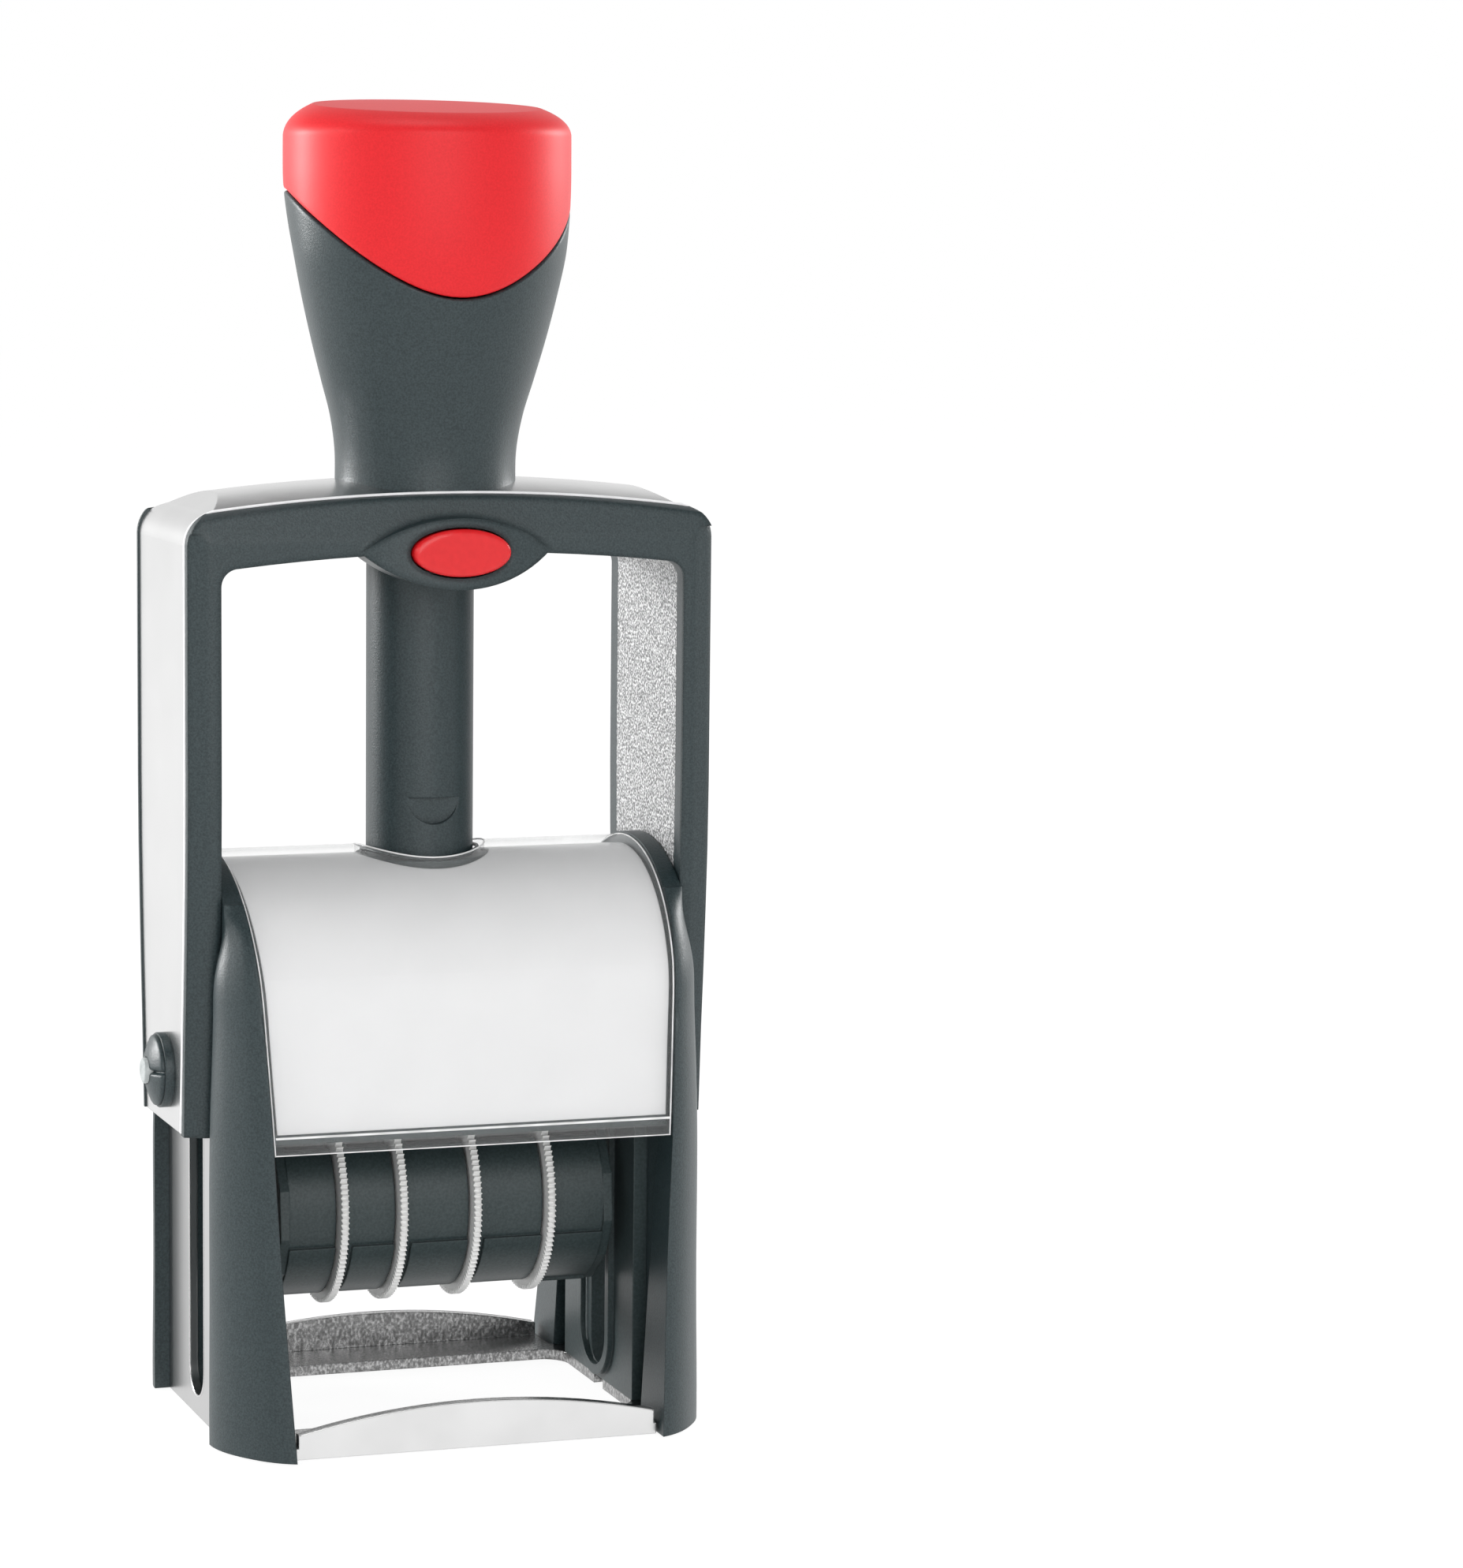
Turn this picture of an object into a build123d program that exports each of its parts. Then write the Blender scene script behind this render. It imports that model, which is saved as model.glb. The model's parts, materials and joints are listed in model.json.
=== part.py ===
"""Self-inking rotary date stamp, hand size.

A steel-framed body stands on the paper. A yoke with a tall grip slides down over the
body's guide tube. The yoke's two axle pins carry the die carriage, which turns over on
its way down, from the ink pad under the roof to the paper in the base window. The
carriage holds four rubber date bands, each set by its own thumb wheel.

Frame: X to the right, Y to the back, Z up, origin at the middle of the base, at rest.
Millimetres throughout.
"""
import math
import os

from build123d import *

# ---- driving dimensions ------------------------------------------------------------
TRAVEL = 29.0            # how far the handle goes down
AXLE_Z = 41.0            # flip axle height at rest
PRINT_REACH = AXLE_Z - TRAVEL   # print face to axle, so that it meets z = 0 when down

# body, seen from the side
DOME_R = 20.2            # round roof of the body
DOME_TOP = 66.3
LIP_Z = 34.4             # lower edge of the clear cover, front
WALL_SLOPE = 0.054       # the shells' inner faces lean outwards
WALL_FOOT_X = 21.7       # half width between the shells at the base
SHELL_PROUD = 0.3        # the shells stand this far outside the cover
SHELL_OUT_X = 27.25       # outer face of the shells and side plates, inside the yoke
PLATE_T = 1.0            # steel side plate
CHANNEL_Y = 13.3         # half depth of the channel in which the yoke's leg runs
PLATE_TOP_Z = 56.0
COVER_T = 1.0
OPENING_R = 7.6          # round the guide tube
CARD_T = 0.3
ROOF_T = 1.35
COVER_BACK_Y = 12.6      # the roof ends here, above the pad tray's back plate

# slot for the axle pins
SLOT_W = 7.0
SLOT_BOTTOM = 2.3
SLOT_TOP = 47.3
GUIDE_IN_X = 22.0        # inner face of the plastic slot guides
GUIDE_OUT_X = 24.0

# base frame
SHEET_T = 1.25
WINDOW_X = 22.1
WINDOW_Y = 14.2
BAR_Y = 22.7             # front face of the arched bars
BAR_X = 21.1
BAR_END_H = 2.8
BAR_MID_H = 5.3
BASE_SCREWS = [(x, y) for x in (-24.75, 24.75) for y in (-14.9, 14.9)]

# yoke
YOKE_X = 31.0            # outer half width of the edge trims
YOKE_IN_X = 27.35        # inner half width of the legs
YOKE_BOTTOM = 34.8
WINDOW_TOP = 99.5        # corner of the yoke's window
WINDOW_ARCH = 1.5        # rise of the window's top edge
YOKE_TOP = 109.2         # crest of the yoke
ARCH_R = 220.0           # the crest's large radius, side to side
CROWN_R = 33.3           # the crest's small radius, front to back
DEPTH_LINE = [(34.8, 10.4), (45.0, 11.1), (52.0, 11.7), (59.0, 12.2), (66.0, 12.6), (74.0, 12.8),
              (99.5, 12.8), (115.0, 12.8)]    # height, half depth of the yoke
DEPTH_HIGH = 12.8
TRIM_T = 2.4             # front to back thickness of the edge trims
BACK_RIM_T = 0.5         # of which this much shows behind the strap at the back
TRIM_PROUD = 0.2        # the trims stand proud of the steel strap
BEVEL = 1.3              # the trims' faces fall back towards the outside
STRAP_T = 1.0

# centre column
TUBE_R = 6.25
TUBE_Y = 1.5             # the tube stands a little back, to leave room for the lock
TUBE_BORE = 4.9
TUBE_FOOT = 61.0
TUBE_TOP = 117.0
MOON_R = 3.1              # half-moon recess in the tube for the lock
BUSH_R = 7.3
SLIDE_GAP = 0.1

# grip and cap
GRIP_BORE = 6.8
GRIP_SCREW_X = 8.8
CAP_CEILING = 149.0
GRIP_SIDE = [(10.42, 112.0), (11.0, 116.0), (12.4, 121.0), (13.4, 124.7), (14.6, 129.6),
             (15.6, 134.5), (16.2, 139.0)]
CAP_R = 16.5
CAP_SHOULDER = 146.8
CAP_FACET_R = 12.5
CAP_FACET_Z = 150.8
CAP_TOP = 152.2
PARTING = [(-18.0, 124.4), (-14.6, 129.6), (-11.4, 134.2), (-7.6, 138.1), (-4.1, 140.1),
           (0.0, 141.6), (4.0, 142.2)]

# lock button
BUTTON_Z = 101.1
BUTTON_RX = 5.7
BUTTON_RZ = 2.7
BUTTON_TRAVEL = 1.4
BOSS_X = 11.2            # half width of the lens-shaped boss
BOSS_PROUD = 2.4         # its middle stands this far in front of the yoke

# die carriage
CARRIAGE_X = 20.0
CHEEK_T = 1.1
WHEEL_Z = 25.0           # thumb wheel axle height at rest
WHEEL_R = 12.3
WHEEL_T = 0.9
WHEEL_TEETH = 60
WHEEL_X = (-12.65, -5.6, 3.25, 12.2)
WHEEL_NAMES = ("day_tens", "day_units", "month", "year")
BAY_LEFT_X = (-18.9, -11.35, -4.3, 4.5)    # left wall of each band's bay
PARTITION_T = 0.6
WHEEL_AXLE_R = 1.5
HUB_R = 4.6
BAND_IN = 4.7            # half depth inside the band's loop
BAND_T = 1.0
TYPE_H = 0.6             # height of the raised type
GUARD_BOTTOM = 14.2       # curved guards in front of the bands, just inside the wheels' rims
GUARD_R = 11.1
GUARD_UPPER_R = 10.6
GUARD_T = 1.1
GUARD_STEP_Z = 21.2
GUARD_TOP = 32.2
ANVIL_FOOT = 45.0

# pad tray
PAD_FACE_Z = 53.25       # just over the print face
TRAY_X = 21.7
TRAY_TOP = 58.0
TRAY_LID_T = 1.0
RAIL_TOP = 54.3

PIN_R = 2.2
ROLLER_R = 3.3
RUN = 0.05               # running clearance of pins in holes


# ---- small makers -------------------------------------------------------------------
def box(x0, x1, y0, y1, z0, z1):
    """Box from its lowest to its highest corner."""
    size = Box(x1 - x0, y1 - y0, z1 - z0)
    return Pos((x0 + x1) / 2, (y0 + y1) / 2, (z0 + z1) / 2) * size


def rod_x(r, x0, x1, y, z):
    """Round bar along X."""
    return Pos((x0 + x1) / 2, y, z) * Rot(0, 90, 0) * Cylinder(r, x1 - x0)


def rod_z(r, z0, z1, x=0.0, y=0.0):
    """Round bar along Z."""
    return Pos(x, y, (z0 + z1) / 2) * Rot(0, 0, 45) * Cylinder(r, z1 - z0)


def tube_rod(r, z0, z1):
    """Round bar along Z on the guide tube's axis."""
    return rod_z(r, z0, z1, 0, TUBE_Y)


def tube_ring(r_out, r_in, z0, z1):
    """Plain tube along Z on the guide tube's axis."""
    return tube_rod(r_out, z0, z1) - tube_rod(r_in, z0 - 1, z1 + 1)


def both(part):
    """The part and its mirror image in X."""
    return part + mirror(part, about=Plane.YZ)


def solids_of(*parts):
    """Separate solids that share one node."""
    return Compound([s for p in parts for s in p.solids()])


def stadium_x(half_w, z0, z1, x0, x1):
    """Upright round-ended slot shape in the YZ plane, carried along X."""
    middle = box(x0, x1, -half_w, half_w, z0 + half_w, z1 - half_w)
    ends = rod_x(half_w, x0, x1, 0, z0 + half_w) + rod_x(half_w, x0, x1, 0, z1 - half_w)
    return middle + ends


def side_profile(grow, x0, x1):
    """Body seen from the side, moved outwards by grow, carried from x0 to x1."""
    centre_z = DOME_TOP - DOME_R
    edge_y = 18.5
    edge_z = centre_z + math.sqrt(DOME_R ** 2 - edge_y ** 2)
    lean = (edge_y / DOME_R, (edge_z - centre_z) / DOME_R)
    corner = (edge_y + grow * lean[0], edge_z + grow * lean[1])
    flank = [corner, (19.7 + grow, 47.0), (21.0 + grow, LIP_Z), (21.6 + grow, 20.0),
             (22.7 + grow, 11.0), (24.0 + grow, 0.0)]
    roof = ThreePointArc((-corner[0], corner[1]), (0, DOME_TOP + grow), corner)
    right = Spline(flank, tangents=[(lean[1], -lean[0]), (0.14, -1)])
    left = Spline([(-y, z) for y, z in flank], tangents=[(-lean[1], -lean[0]), (-0.14, -1)])
    sill = Line(flank[-1], (-flank[-1][0], 0))
    face = make_face([roof, right, sill, left])
    return Pos(x0, 0, 0) * extrude(Plane.YZ * face, x1 - x0)


def between_shells(gap):
    """Space between the two side shells, less a gap on each side."""
    top = 75.0
    foot = WALL_FOOT_X - gap
    head = WALL_FOOT_X + WALL_SLOPE * top - gap
    face = make_face(Polyline((-foot, 0), (foot, 0), (head, top), (-head, top), close=True))
    return extrude(Plane.XZ * face, 40, both=True)


# ---- body ---------------------------------------------------------------------------
def base_frame():
    """Window frame of bent sheet with an arched bar at the front and at the back."""
    plate = box(-25.9, 25.9, -16.5, 16.5, 0, SHEET_T)
    flange = box(-BAR_X - 0.3, BAR_X + 0.3, -BAR_Y, BAR_Y, 0, SHEET_T)
    frame = plate + flange
    hole = RectangleRounded(2 * WINDOW_X, 2 * WINDOW_Y, 3.0)
    frame -= extrude(hole, 10, both=True)
    outline = make_face([
        ThreePointArc((-BAR_X, BAR_END_H), (0, BAR_MID_H), (BAR_X, BAR_END_H)),
        Polyline((BAR_X, BAR_END_H), (BAR_X, 0), (1.0, 0), (0, 1.3), (-1.0, 0),
                 (-BAR_X, 0), (-BAR_X, BAR_END_H))])
    bar = Pos(0, -BAR_Y + SHEET_T, 0) * extrude(Plane.XZ * outline, SHEET_T)
    frame += bar + mirror(bar, about=Plane.XZ)
    notch = box(WINDOW_X - 0.5, WINDOW_X + 1.2, -1.6, 1.6, -1, 5)
    frame -= both(notch)
    for x, y in BASE_SCREWS:
        frame -= rod_z(0.75, -1, 5, x, y) + rod_z(1.15, -1, 0.8, x, y)
    return frame


def base_screws():
    """Four countersunk screws from below into the shells."""
    return solids_of(*[rod_z(0.7, 0.1, 7.0, x, y) + rod_z(1.1, 0.1, 0.78, x, y)
                       for x, y in BASE_SCREWS])


def side_plate():
    """Steel plate in the channel, with the slot for the axle pin (right side)."""
    plate = box(SHELL_OUT_X - PLATE_T, SHELL_OUT_X, -13.2, 13.2, 0, PLATE_TOP_Z)
    return plate - stadium_x(SLOT_W / 2, SLOT_BOTTOM, SLOT_TOP, 20, 30)


# height, half depth at the inner edge and outer reach of the shells' round front corners
SHELL_STATIONS = [(0.0, 24.4, 29.1), (11.0, 23.1, 29.07), (22.0, 22.0, 29.05),
                  (34.6, 21.4, 29.0), (43.0, 20.6, 28.75), (50.0, 19.6, 28.55),
                  (54.0, 18.7, 28.35), (56.0, 17.9, 27.95), (58.0, 16.9, 27.5),
                  (60.0, 15.35, 27.3), (61.9, 13.5, 27.25)]
# the corner's plan as shares of its reach in X and in Y, from front to side
SHELL_CORNER = [(0.0, 1.0), (0.2, 0.935), (0.4, 0.83), (0.62, 0.66), (0.83, 0.44),
                (0.965, 0.2), (1.0, 0.0)]


def shell_corner():
    """Rounded front corner of the right shell, from the foot to its crest."""
    rings = []
    inner_x = 20.5
    inner_y = CHANNEL_Y - 0.5
    for z, half_depth, reach in SHELL_STATIONS:
        edge_x = WALL_FOOT_X + WALL_SLOPE * z
        curve = [(edge_x + (reach - edge_x) * u, -CHANNEL_Y - (half_depth - CHANNEL_Y) * v)
                 for u, v in SHELL_CORNER]
        line = Polyline(curve[-1], (curve[-1][0], -inner_y), (inner_x, -inner_y),
                        (inner_x, -half_depth), curve[0])
        rings.append(Pos(0, 0, z) * make_face([Spline(curve), line]))
    return loft(rings)


def side_shell():
    """Dark plastic side of the body with its two feet (right side)."""
    wall = side_profile(SHELL_PROUD, 20.5, SHELL_OUT_X)
    crest = SHELL_STATIONS[-1][0]
    wall -= box(20, 30, CHANNEL_Y, 40, -1, crest) + box(20, 30, -40, -CHANNEL_Y, -1, crest)
    corner = shell_corner()
    shell = wall + corner + mirror(corner, about=Plane.XZ)
    shell -= between_shells(0)
    channel = box(SHELL_OUT_X - PLATE_T, 40, -CHANNEL_Y, CHANNEL_Y, -1, PLATE_TOP_Z + 0.1)
    shell -= channel + box(SHELL_OUT_X, 40, -CHANNEL_Y, CHANNEL_Y, -1, 80)
    shell -= stadium_x(SLOT_W / 2 + 0.2, SLOT_BOTTOM - 0.2, SLOT_TOP + 0.2, 20, 30)
    shell -= box(20, 26.0, -16.6, 16.6, -1, SHEET_T)
    shell -= box(20, GUIDE_OUT_X, -12.5, 12.5, -1, 52)
    shell -= box(20, 23.6, -16.2, 16.2, -1, 46)
    for x, y in BASE_SCREWS:
        shell -= rod_z(0.75, -1, 7.2, x, y)
    return shell


def inner_guide():
    """Slot guide inside the body, with a raised rim round the slot (right side)."""
    plate = box(GUIDE_IN_X, GUIDE_OUT_X, -12.4, 12.4, SHEET_T, 51.9)
    rim = stadium_x(5.6, 1.6, 37.0, GUIDE_IN_X - 0.7, GUIDE_IN_X)
    rim -= stadium_x(4.4, 2.8, 35.8, 10, 30)
    guide = plate + rim
    return guide - stadium_x(2.5, 2.9, 47.0, 10, 30)


def roof_skin(outside, thickness, side_gap, front_z, back_y, opening_r):
    """Curved sheet that follows the body's roof, open round the guide tube."""
    skin = side_profile(outside, -30, 30) - side_profile(outside - thickness, -31, 31)
    skin &= between_shells(side_gap)
    skin &= box(-30, 30, -30, back_y, front_z, 80)
    return skin - tube_rod(opening_r, 50, 80)


def clear_cover():
    """Transparent index window with a thick lip along its lower edge."""
    cover = roof_skin(0, COVER_T, 0.12, LIP_Z, COVER_BACK_Y, OPENING_R)
    cover = keep_front_and_roof(cover)
    lip = box(-30, 30, -20.6, -18.4, LIP_Z, LIP_Z + 0.9) & between_shells(0.12)
    return cover + lip


def keep_front_and_roof(skin):
    """Drop what a roof skin has below the roof at the back."""
    return skin - box(-40, 40, 0, 40, 0, DOME_TOP - DOME_R)


def label_card():
    """White card under the cover, pushed in against the right-hand shell."""
    card = roof_skin(-1.03, CARD_T, 0, 36.6, 12.3, OPENING_R + 0.5)
    card &= Pos(0.2, 0, 0) * between_shells(0.65)
    return keep_front_and_roof(card)


def top_housing():
    """Dark roof that holds the guide tube and the pad tray's rails."""
    roof = keep_front_and_roof(roof_skin(-1.36, ROOF_T, 0.12, LIP_Z + 1.0, 12.4, TUBE_R + 0.02))
    collar = tube_ring(7.5, TUBE_R + 0.02, TUBE_FOOT, 64.9)
    cheek = side_profile(-1.36, GUIDE_IN_X, 26) & between_shells(0.0)
    cheek &= box(20, 30, -30, 14.0, 53.0, 80)
    rail = box(20.95, GUIDE_IN_X + 0.5, -12.0, 12.0, 53.0, RAIL_TOP)
    return roof + collar + both(cheek + rail)


def guide_tube():
    """Column on which the grip slides, with the lock's half-moon recess."""
    tube = tube_ring(TUBE_R, TUBE_BORE, TUBE_FOOT, TUBE_TOP)
    recess_z = BUTTON_Z - TRAVEL
    floor_y = TUBE_Y - math.sqrt(TUBE_R ** 2 - MOON_R ** 2)
    moon = Pos(0, floor_y - 1, recess_z) * Rot(90, 0, 0) * Cylinder(MOON_R, 2.0)
    moon &= box(-5, 5, floor_y - 3, floor_y + 1, recess_z - 4, recess_z)
    return tube - moon


def spring_seat():
    """Plug in the tube's foot that carries the return spring."""
    return tube_rod(TUBE_BORE - 0.02, TUBE_FOOT + 0.4, 64.0)


def coil(mean_r, wire_r, length, turns):
    """Helical spring along +Z from the origin."""
    path = Helix(pitch=length / turns, height=length, radius=mean_r)
    start = Plane(origin=path @ 0, z_dir=path % 0)
    return sweep(start * Circle(wire_r), path=path)


def return_spring():
    """Long spring from the tube's seat to the plunger's head."""
    wire_r = 0.55
    low, high = 64.0, CAP_CEILING - 1.4
    return Pos(0, TUBE_Y, low + wire_r) * coil(4.0, wire_r, high - low - 2 * wire_r, 18)


# ---- yoke ---------------------------------------------------------------------------
def depth_slab(front, back):
    """All that lies within the yoke's depth, less an inset at the front and at the back."""
    line = [(-depth + front, z) for z, depth in DEPTH_LINE]
    line += [(depth - back, z) for z, depth in reversed(DEPTH_LINE)]
    return extrude(Plane.YZ * make_face(Polyline(*line, close=True)), 40, both=True)


def inside_trims():
    """The part of the yoke's depth that lies between its two edge trims."""
    return depth_slab(TRIM_T, TRIM_T)


def strap_zone():
    """The outer skin of the yoke's form, where the steel strap lies."""
    skin = yoke_outside(TRIM_PROUD) - yoke_outside(TRIM_PROUD + STRAP_T)
    return skin & depth_slab(TRIM_T, BACK_RIM_T)


def crowned_top(top):
    """Block whose upper face is crowned in both directions, lofted along X."""
    edge_y = 14.0
    crown_drop = edge_y ** 2 / (2 * CROWN_R)
    rings = []
    for x in (-36.0, -18.0, 0.0, 18.0, 36.0):
        crest = top - x ** 2 / (2 * ARCH_R)
        section = make_face([
            ThreePointArc((-edge_y, crest - crown_drop), (0, crest), (edge_y, crest - crown_drop)),
            Polyline((edge_y, crest - crown_drop), (edge_y, 90), (-edge_y, 90),
                     (-edge_y, crest - crown_drop))])
        rings.append(Pos(x, 0, 0) * (Plane.YZ * section))
    return loft(rings)


def yoke_outside(inset):
    """Solid outer form of the yoke, legs and crowned top, less an inset all round."""
    x = YOKE_X - inset
    side_top = 102.2 - inset
    turn = (x - 3.0, side_top + 3.7)
    over = (x - 9.0, side_top + 8.0)
    outline = make_face([
        ThreePointArc((x, side_top), (x - 0.75, side_top + 2.2), turn),
        Polyline(turn, over, (-over[0], over[1]), (-turn[0], turn[1])),
        ThreePointArc((-turn[0], turn[1]), (-x + 0.75, side_top + 2.2), (-x, side_top)),
        Polyline((-x, side_top), (-x, YOKE_BOTTOM), (x, YOKE_BOTTOM), (x, side_top))])
    body = extrude(Plane.XZ * outline, 20, both=True)
    crown = crowned_top(YOKE_TOP - inset)
    return body & (crown + box(-40, 40, -20, 20, 0, 96))


def yoke_window():
    """Opening under the crossbar, with an arched top and small round corners."""
    r = 2.0
    x = YOKE_IN_X
    outline = make_face([
        Polyline((-x, WINDOW_TOP - r), (-x, 0), (x, 0), (x, WINDOW_TOP - r)),
        ThreePointArc((x, WINDOW_TOP - r), (x - 0.55, WINDOW_TOP - 0.55), (x - r, WINDOW_TOP + 0.1)),
        ThreePointArc((x - r, WINDOW_TOP + 0.1), (0, WINDOW_TOP + WINDOW_ARCH),
                      (-x + r, WINDOW_TOP + 0.1)),
        ThreePointArc((-x + r, WINDOW_TOP + 0.1), (-x + 0.55, WINDOW_TOP - 0.55),
                      (-x, WINDOW_TOP - r))])
    return extrude(Plane.XZ * outline, 20, both=True)


def grip_screw_holes(r, z0, z1):
    """Holes, or bars, at the places of the two screws that hold the grip."""
    return rod_z(r, z0, z1, -GRIP_SCREW_X) + rod_z(r, z0, z1, GRIP_SCREW_X)


def axle_bore(r):
    """Hole through both legs for the axle pins."""
    return rod_x(r, -40, 40, 0, AXLE_Z)


def button_oval(grow, y0, y1):
    """Oval prism of the lock button, from y0 to y1."""
    face = Pos(0, BUTTON_Z) * Ellipse(BUTTON_RX + grow, BUTTON_RZ + grow)
    return Pos(0, y1, 0) * extrude(Plane.XZ * face, y1 - y0)


def yoke_core():
    """Inner casting of the yoke: two legs and the crossbar."""
    core = (yoke_outside(TRIM_PROUD + STRAP_T) & inside_trims()) - yoke_window()
    core -= tube_rod(BUSH_R + 0.02, 90, 120)
    core -= button_oval(0.2, -14, -7.9) + box(-2.0, 2.0, -9.5, -4.0, 99.8, 102.4)
    core -= grip_screw_holes(0.95, 90, 120) + grip_screw_holes(1.35, 90, 102.1)
    return core - axle_bore(PIN_R + 0.02)


def yoke_strap():
    """Bright steel strap over the outside of the yoke."""
    strap = strap_zone() - tube_rod(BUSH_R + 0.3, 100, 120)
    strap -= grip_screw_holes(0.95, 90, 120)
    return strap - axle_bore(PIN_R + 0.02)


def leg_bevel():
    """Wedge taken off the outer front edge of the right leg."""
    rings = []
    for z, y in [(YOKE_BOTTOM - 1, DEPTH_LINE[0][1])] + DEPTH_LINE[1:7] + [(103.5, DEPTH_HIGH)]:
        corners = [(28.6, -y), (28.6, -y - 3), (31.6, -y - 3), (31.6, -y + BEVEL)]
        rings.append(Pos(0, 0, z) * make_face(Polyline(*corners, close=True)))
    return loft(rings, ruled=True)


def bar_bevel():
    """Wedge taken off the upper front edge of the crossbar."""
    y = DEPTH_HIGH
    face = make_face(Polyline((-y, 102.6), (-y + BEVEL + 0.3, 108.6), (-y - 3, 108.6),
                              (-y - 3, 102.6), close=True))
    return extrude(Plane.YZ * face, 40, both=True)


def front_frame():
    """Dark plastic frame on the front edge of the yoke, before the button's boss."""
    frame = yoke_outside(0) & depth_slab(0, 0)
    frame -= depth_slab(TRIM_T, -5)
    frame -= yoke_window()
    return frame - both(leg_bevel()) - bar_bevel()


def boss():
    """Lens-shaped bulge in the middle of the crossbar, round the lock button."""
    ends = [(-BOSS_X, 101.1), (BOSS_X, 101.1)]
    outline = make_face([ThreePointArc(ends[0], (0, BUTTON_Z - 4.2), ends[1]),
                         ThreePointArc(ends[1], (0, BUTTON_Z + 3.9), ends[0])])
    front = -DEPTH_HIGH - BOSS_PROUD
    lens = Pos(0, -8.2, 0) * extrude(Plane.XZ * outline, -8.2 - front)
    bulge_r = (BOSS_X ** 2 + BOSS_PROUD ** 2) / (2 * BOSS_PROUD)
    return lens & rod_z(bulge_r, 90, 110, 0, front + bulge_r)


def yoke_front_trim():
    """Front edge frame with the boss round the lock button."""
    lower_boss = boss() - tube_rod(BUSH_R + 0.3, 90, 120)
    above_core = inside_trims() - yoke_window()
    return front_frame() + (lower_boss - above_core) - button_oval(0.2, -20, -5)


def yoke_back_trim():
    """Back edge frame: a thin rim outside, thicker behind the core."""
    frame = yoke_outside(0) & depth_slab(0, 0)
    frame -= depth_slab(-5, TRIM_T)
    skin = (yoke_outside(0) - yoke_outside(TRIM_PROUD + STRAP_T)) & depth_slab(TRIM_T, BACK_RIM_T)
    return frame - yoke_window() - skin


def yoke_bush():
    """Guide bush between the yoke and the tube, notched for the lock latch."""
    bush = tube_ring(BUSH_R, TUBE_R + SLIDE_GAP, 99.8, 107.6)
    return bush - box(-2.2, 2.2, -9, -3.5, 99, 103.4)


# ---- grip ---------------------------------------------------------------------------
def grip_form():
    """Outer form of the grip and cap together: a turned shape."""
    base_r, neck_z = GRIP_SIDE[0]
    side = Spline(GRIP_SIDE + [(CAP_R, CAP_SHOULDER)], tangents=[(0.0, 1), (0, 1)])
    shoulder = ThreePointArc((CAP_R, CAP_SHOULDER), (15.6, 149.4), (CAP_FACET_R, CAP_FACET_Z))
    dome = Spline([(CAP_FACET_R, CAP_FACET_Z), (0, CAP_TOP)], tangents=[(-1, 0.22), (-1, 0)])
    core = Polyline((0, CAP_TOP), (0, 104), (base_r, 104), (base_r, neck_z))
    section = make_face([side, shoulder, dome, core])
    return revolve(Plane.XZ * section, Axis.Z, 360)


def above_parting(lift):
    """Everything over the curved parting line between the grip and its cap."""
    points = [(y, z + lift) for y, z in PARTING]
    end = points[-1]
    line = Spline(points, tangents=[(0.62, 1), (1, 0)])
    rest = Polyline(end, (25, end[1]), (25, 170), (points[0][0], 170), points[0])
    return extrude(Plane.YZ * make_face([line, rest]), 30, both=True)


def grip_body():
    """Dark hollow grip, seated on the crowned strap."""
    grip = grip_form() - above_parting(-0.02) - tube_rod(GRIP_BORE, 100, CAP_CEILING)
    grip -= yoke_outside(TRIM_PROUD) + (yoke_outside(0) - inside_trims())
    return grip - grip_screw_holes(0.95, 100, 115.2)


def grip_cap():
    """Red cap with its curved lower edge."""
    return (grip_form() & above_parting(0.02)) - tube_rod(GRIP_BORE, 100, CAP_CEILING)


def grip_screws():
    """Two screws from under the crossbar up into the grip."""
    return solids_of(grip_screw_holes(0.9, 101.0, 115.0) + grip_screw_holes(1.3, 101.0, 102.0))


def plunger_rod():
    """Rod inside the return spring, with the head that presses on it."""
    head_z = CAP_CEILING - 1.4
    return tube_rod(2.0, 96.0, CAP_CEILING) + tube_rod(6.6, head_z, CAP_CEILING)


# ---- lock button --------------------------------------------------------------------
def lock_button():
    """Red oval button in the boss."""
    button = button_oval(0, -DEPTH_HIGH - BOSS_PROUD - 0.6, -11.0)
    front = button.faces().sort_by(Axis.Y)[0]
    return fillet(front.edges(), 0.55)


def lock_latch():
    """Latch blade behind the button, which points at the tube's recess."""
    tube_front = TUBE_Y - TUBE_R
    return box(-1.8, 1.8, -11.0, tube_front - 0.3 - BUTTON_TRAVEL, 100.0, 102.2)


def button_spring():
    """Small spring that pushes the button out."""
    wire_r = 0.2
    low, high = -10.98, -7.92
    length = high - low - 2 * wire_r
    return Pos(0, low + wire_r, BUTTON_Z) * Rot(-90, 0, 0) * coil(2.45, wire_r, length, 4)


# ---- axle pins ----------------------------------------------------------------------
STRAP_FACE_X = YOKE_X - TRIM_PROUD


def axle_pins():
    """Two pins from the yoke's legs into the carriage."""
    pin = rod_x(PIN_R, CARRIAGE_X - 1.8, STRAP_FACE_X, 0, AXLE_Z)
    return solids_of(pin, mirror(pin, about=Plane.YZ))


def pin_rollers():
    """Rollers on the pins that run in the side plates' slots."""
    roller = rod_x(ROLLER_R, GUIDE_OUT_X + 0.2, YOKE_IN_X - 0.02, 0, AXLE_Z)
    roller -= rod_x(PIN_R + 0.02, 20, 30, 0, AXLE_Z)
    return solids_of(roller, mirror(roller, about=Plane.YZ))


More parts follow.
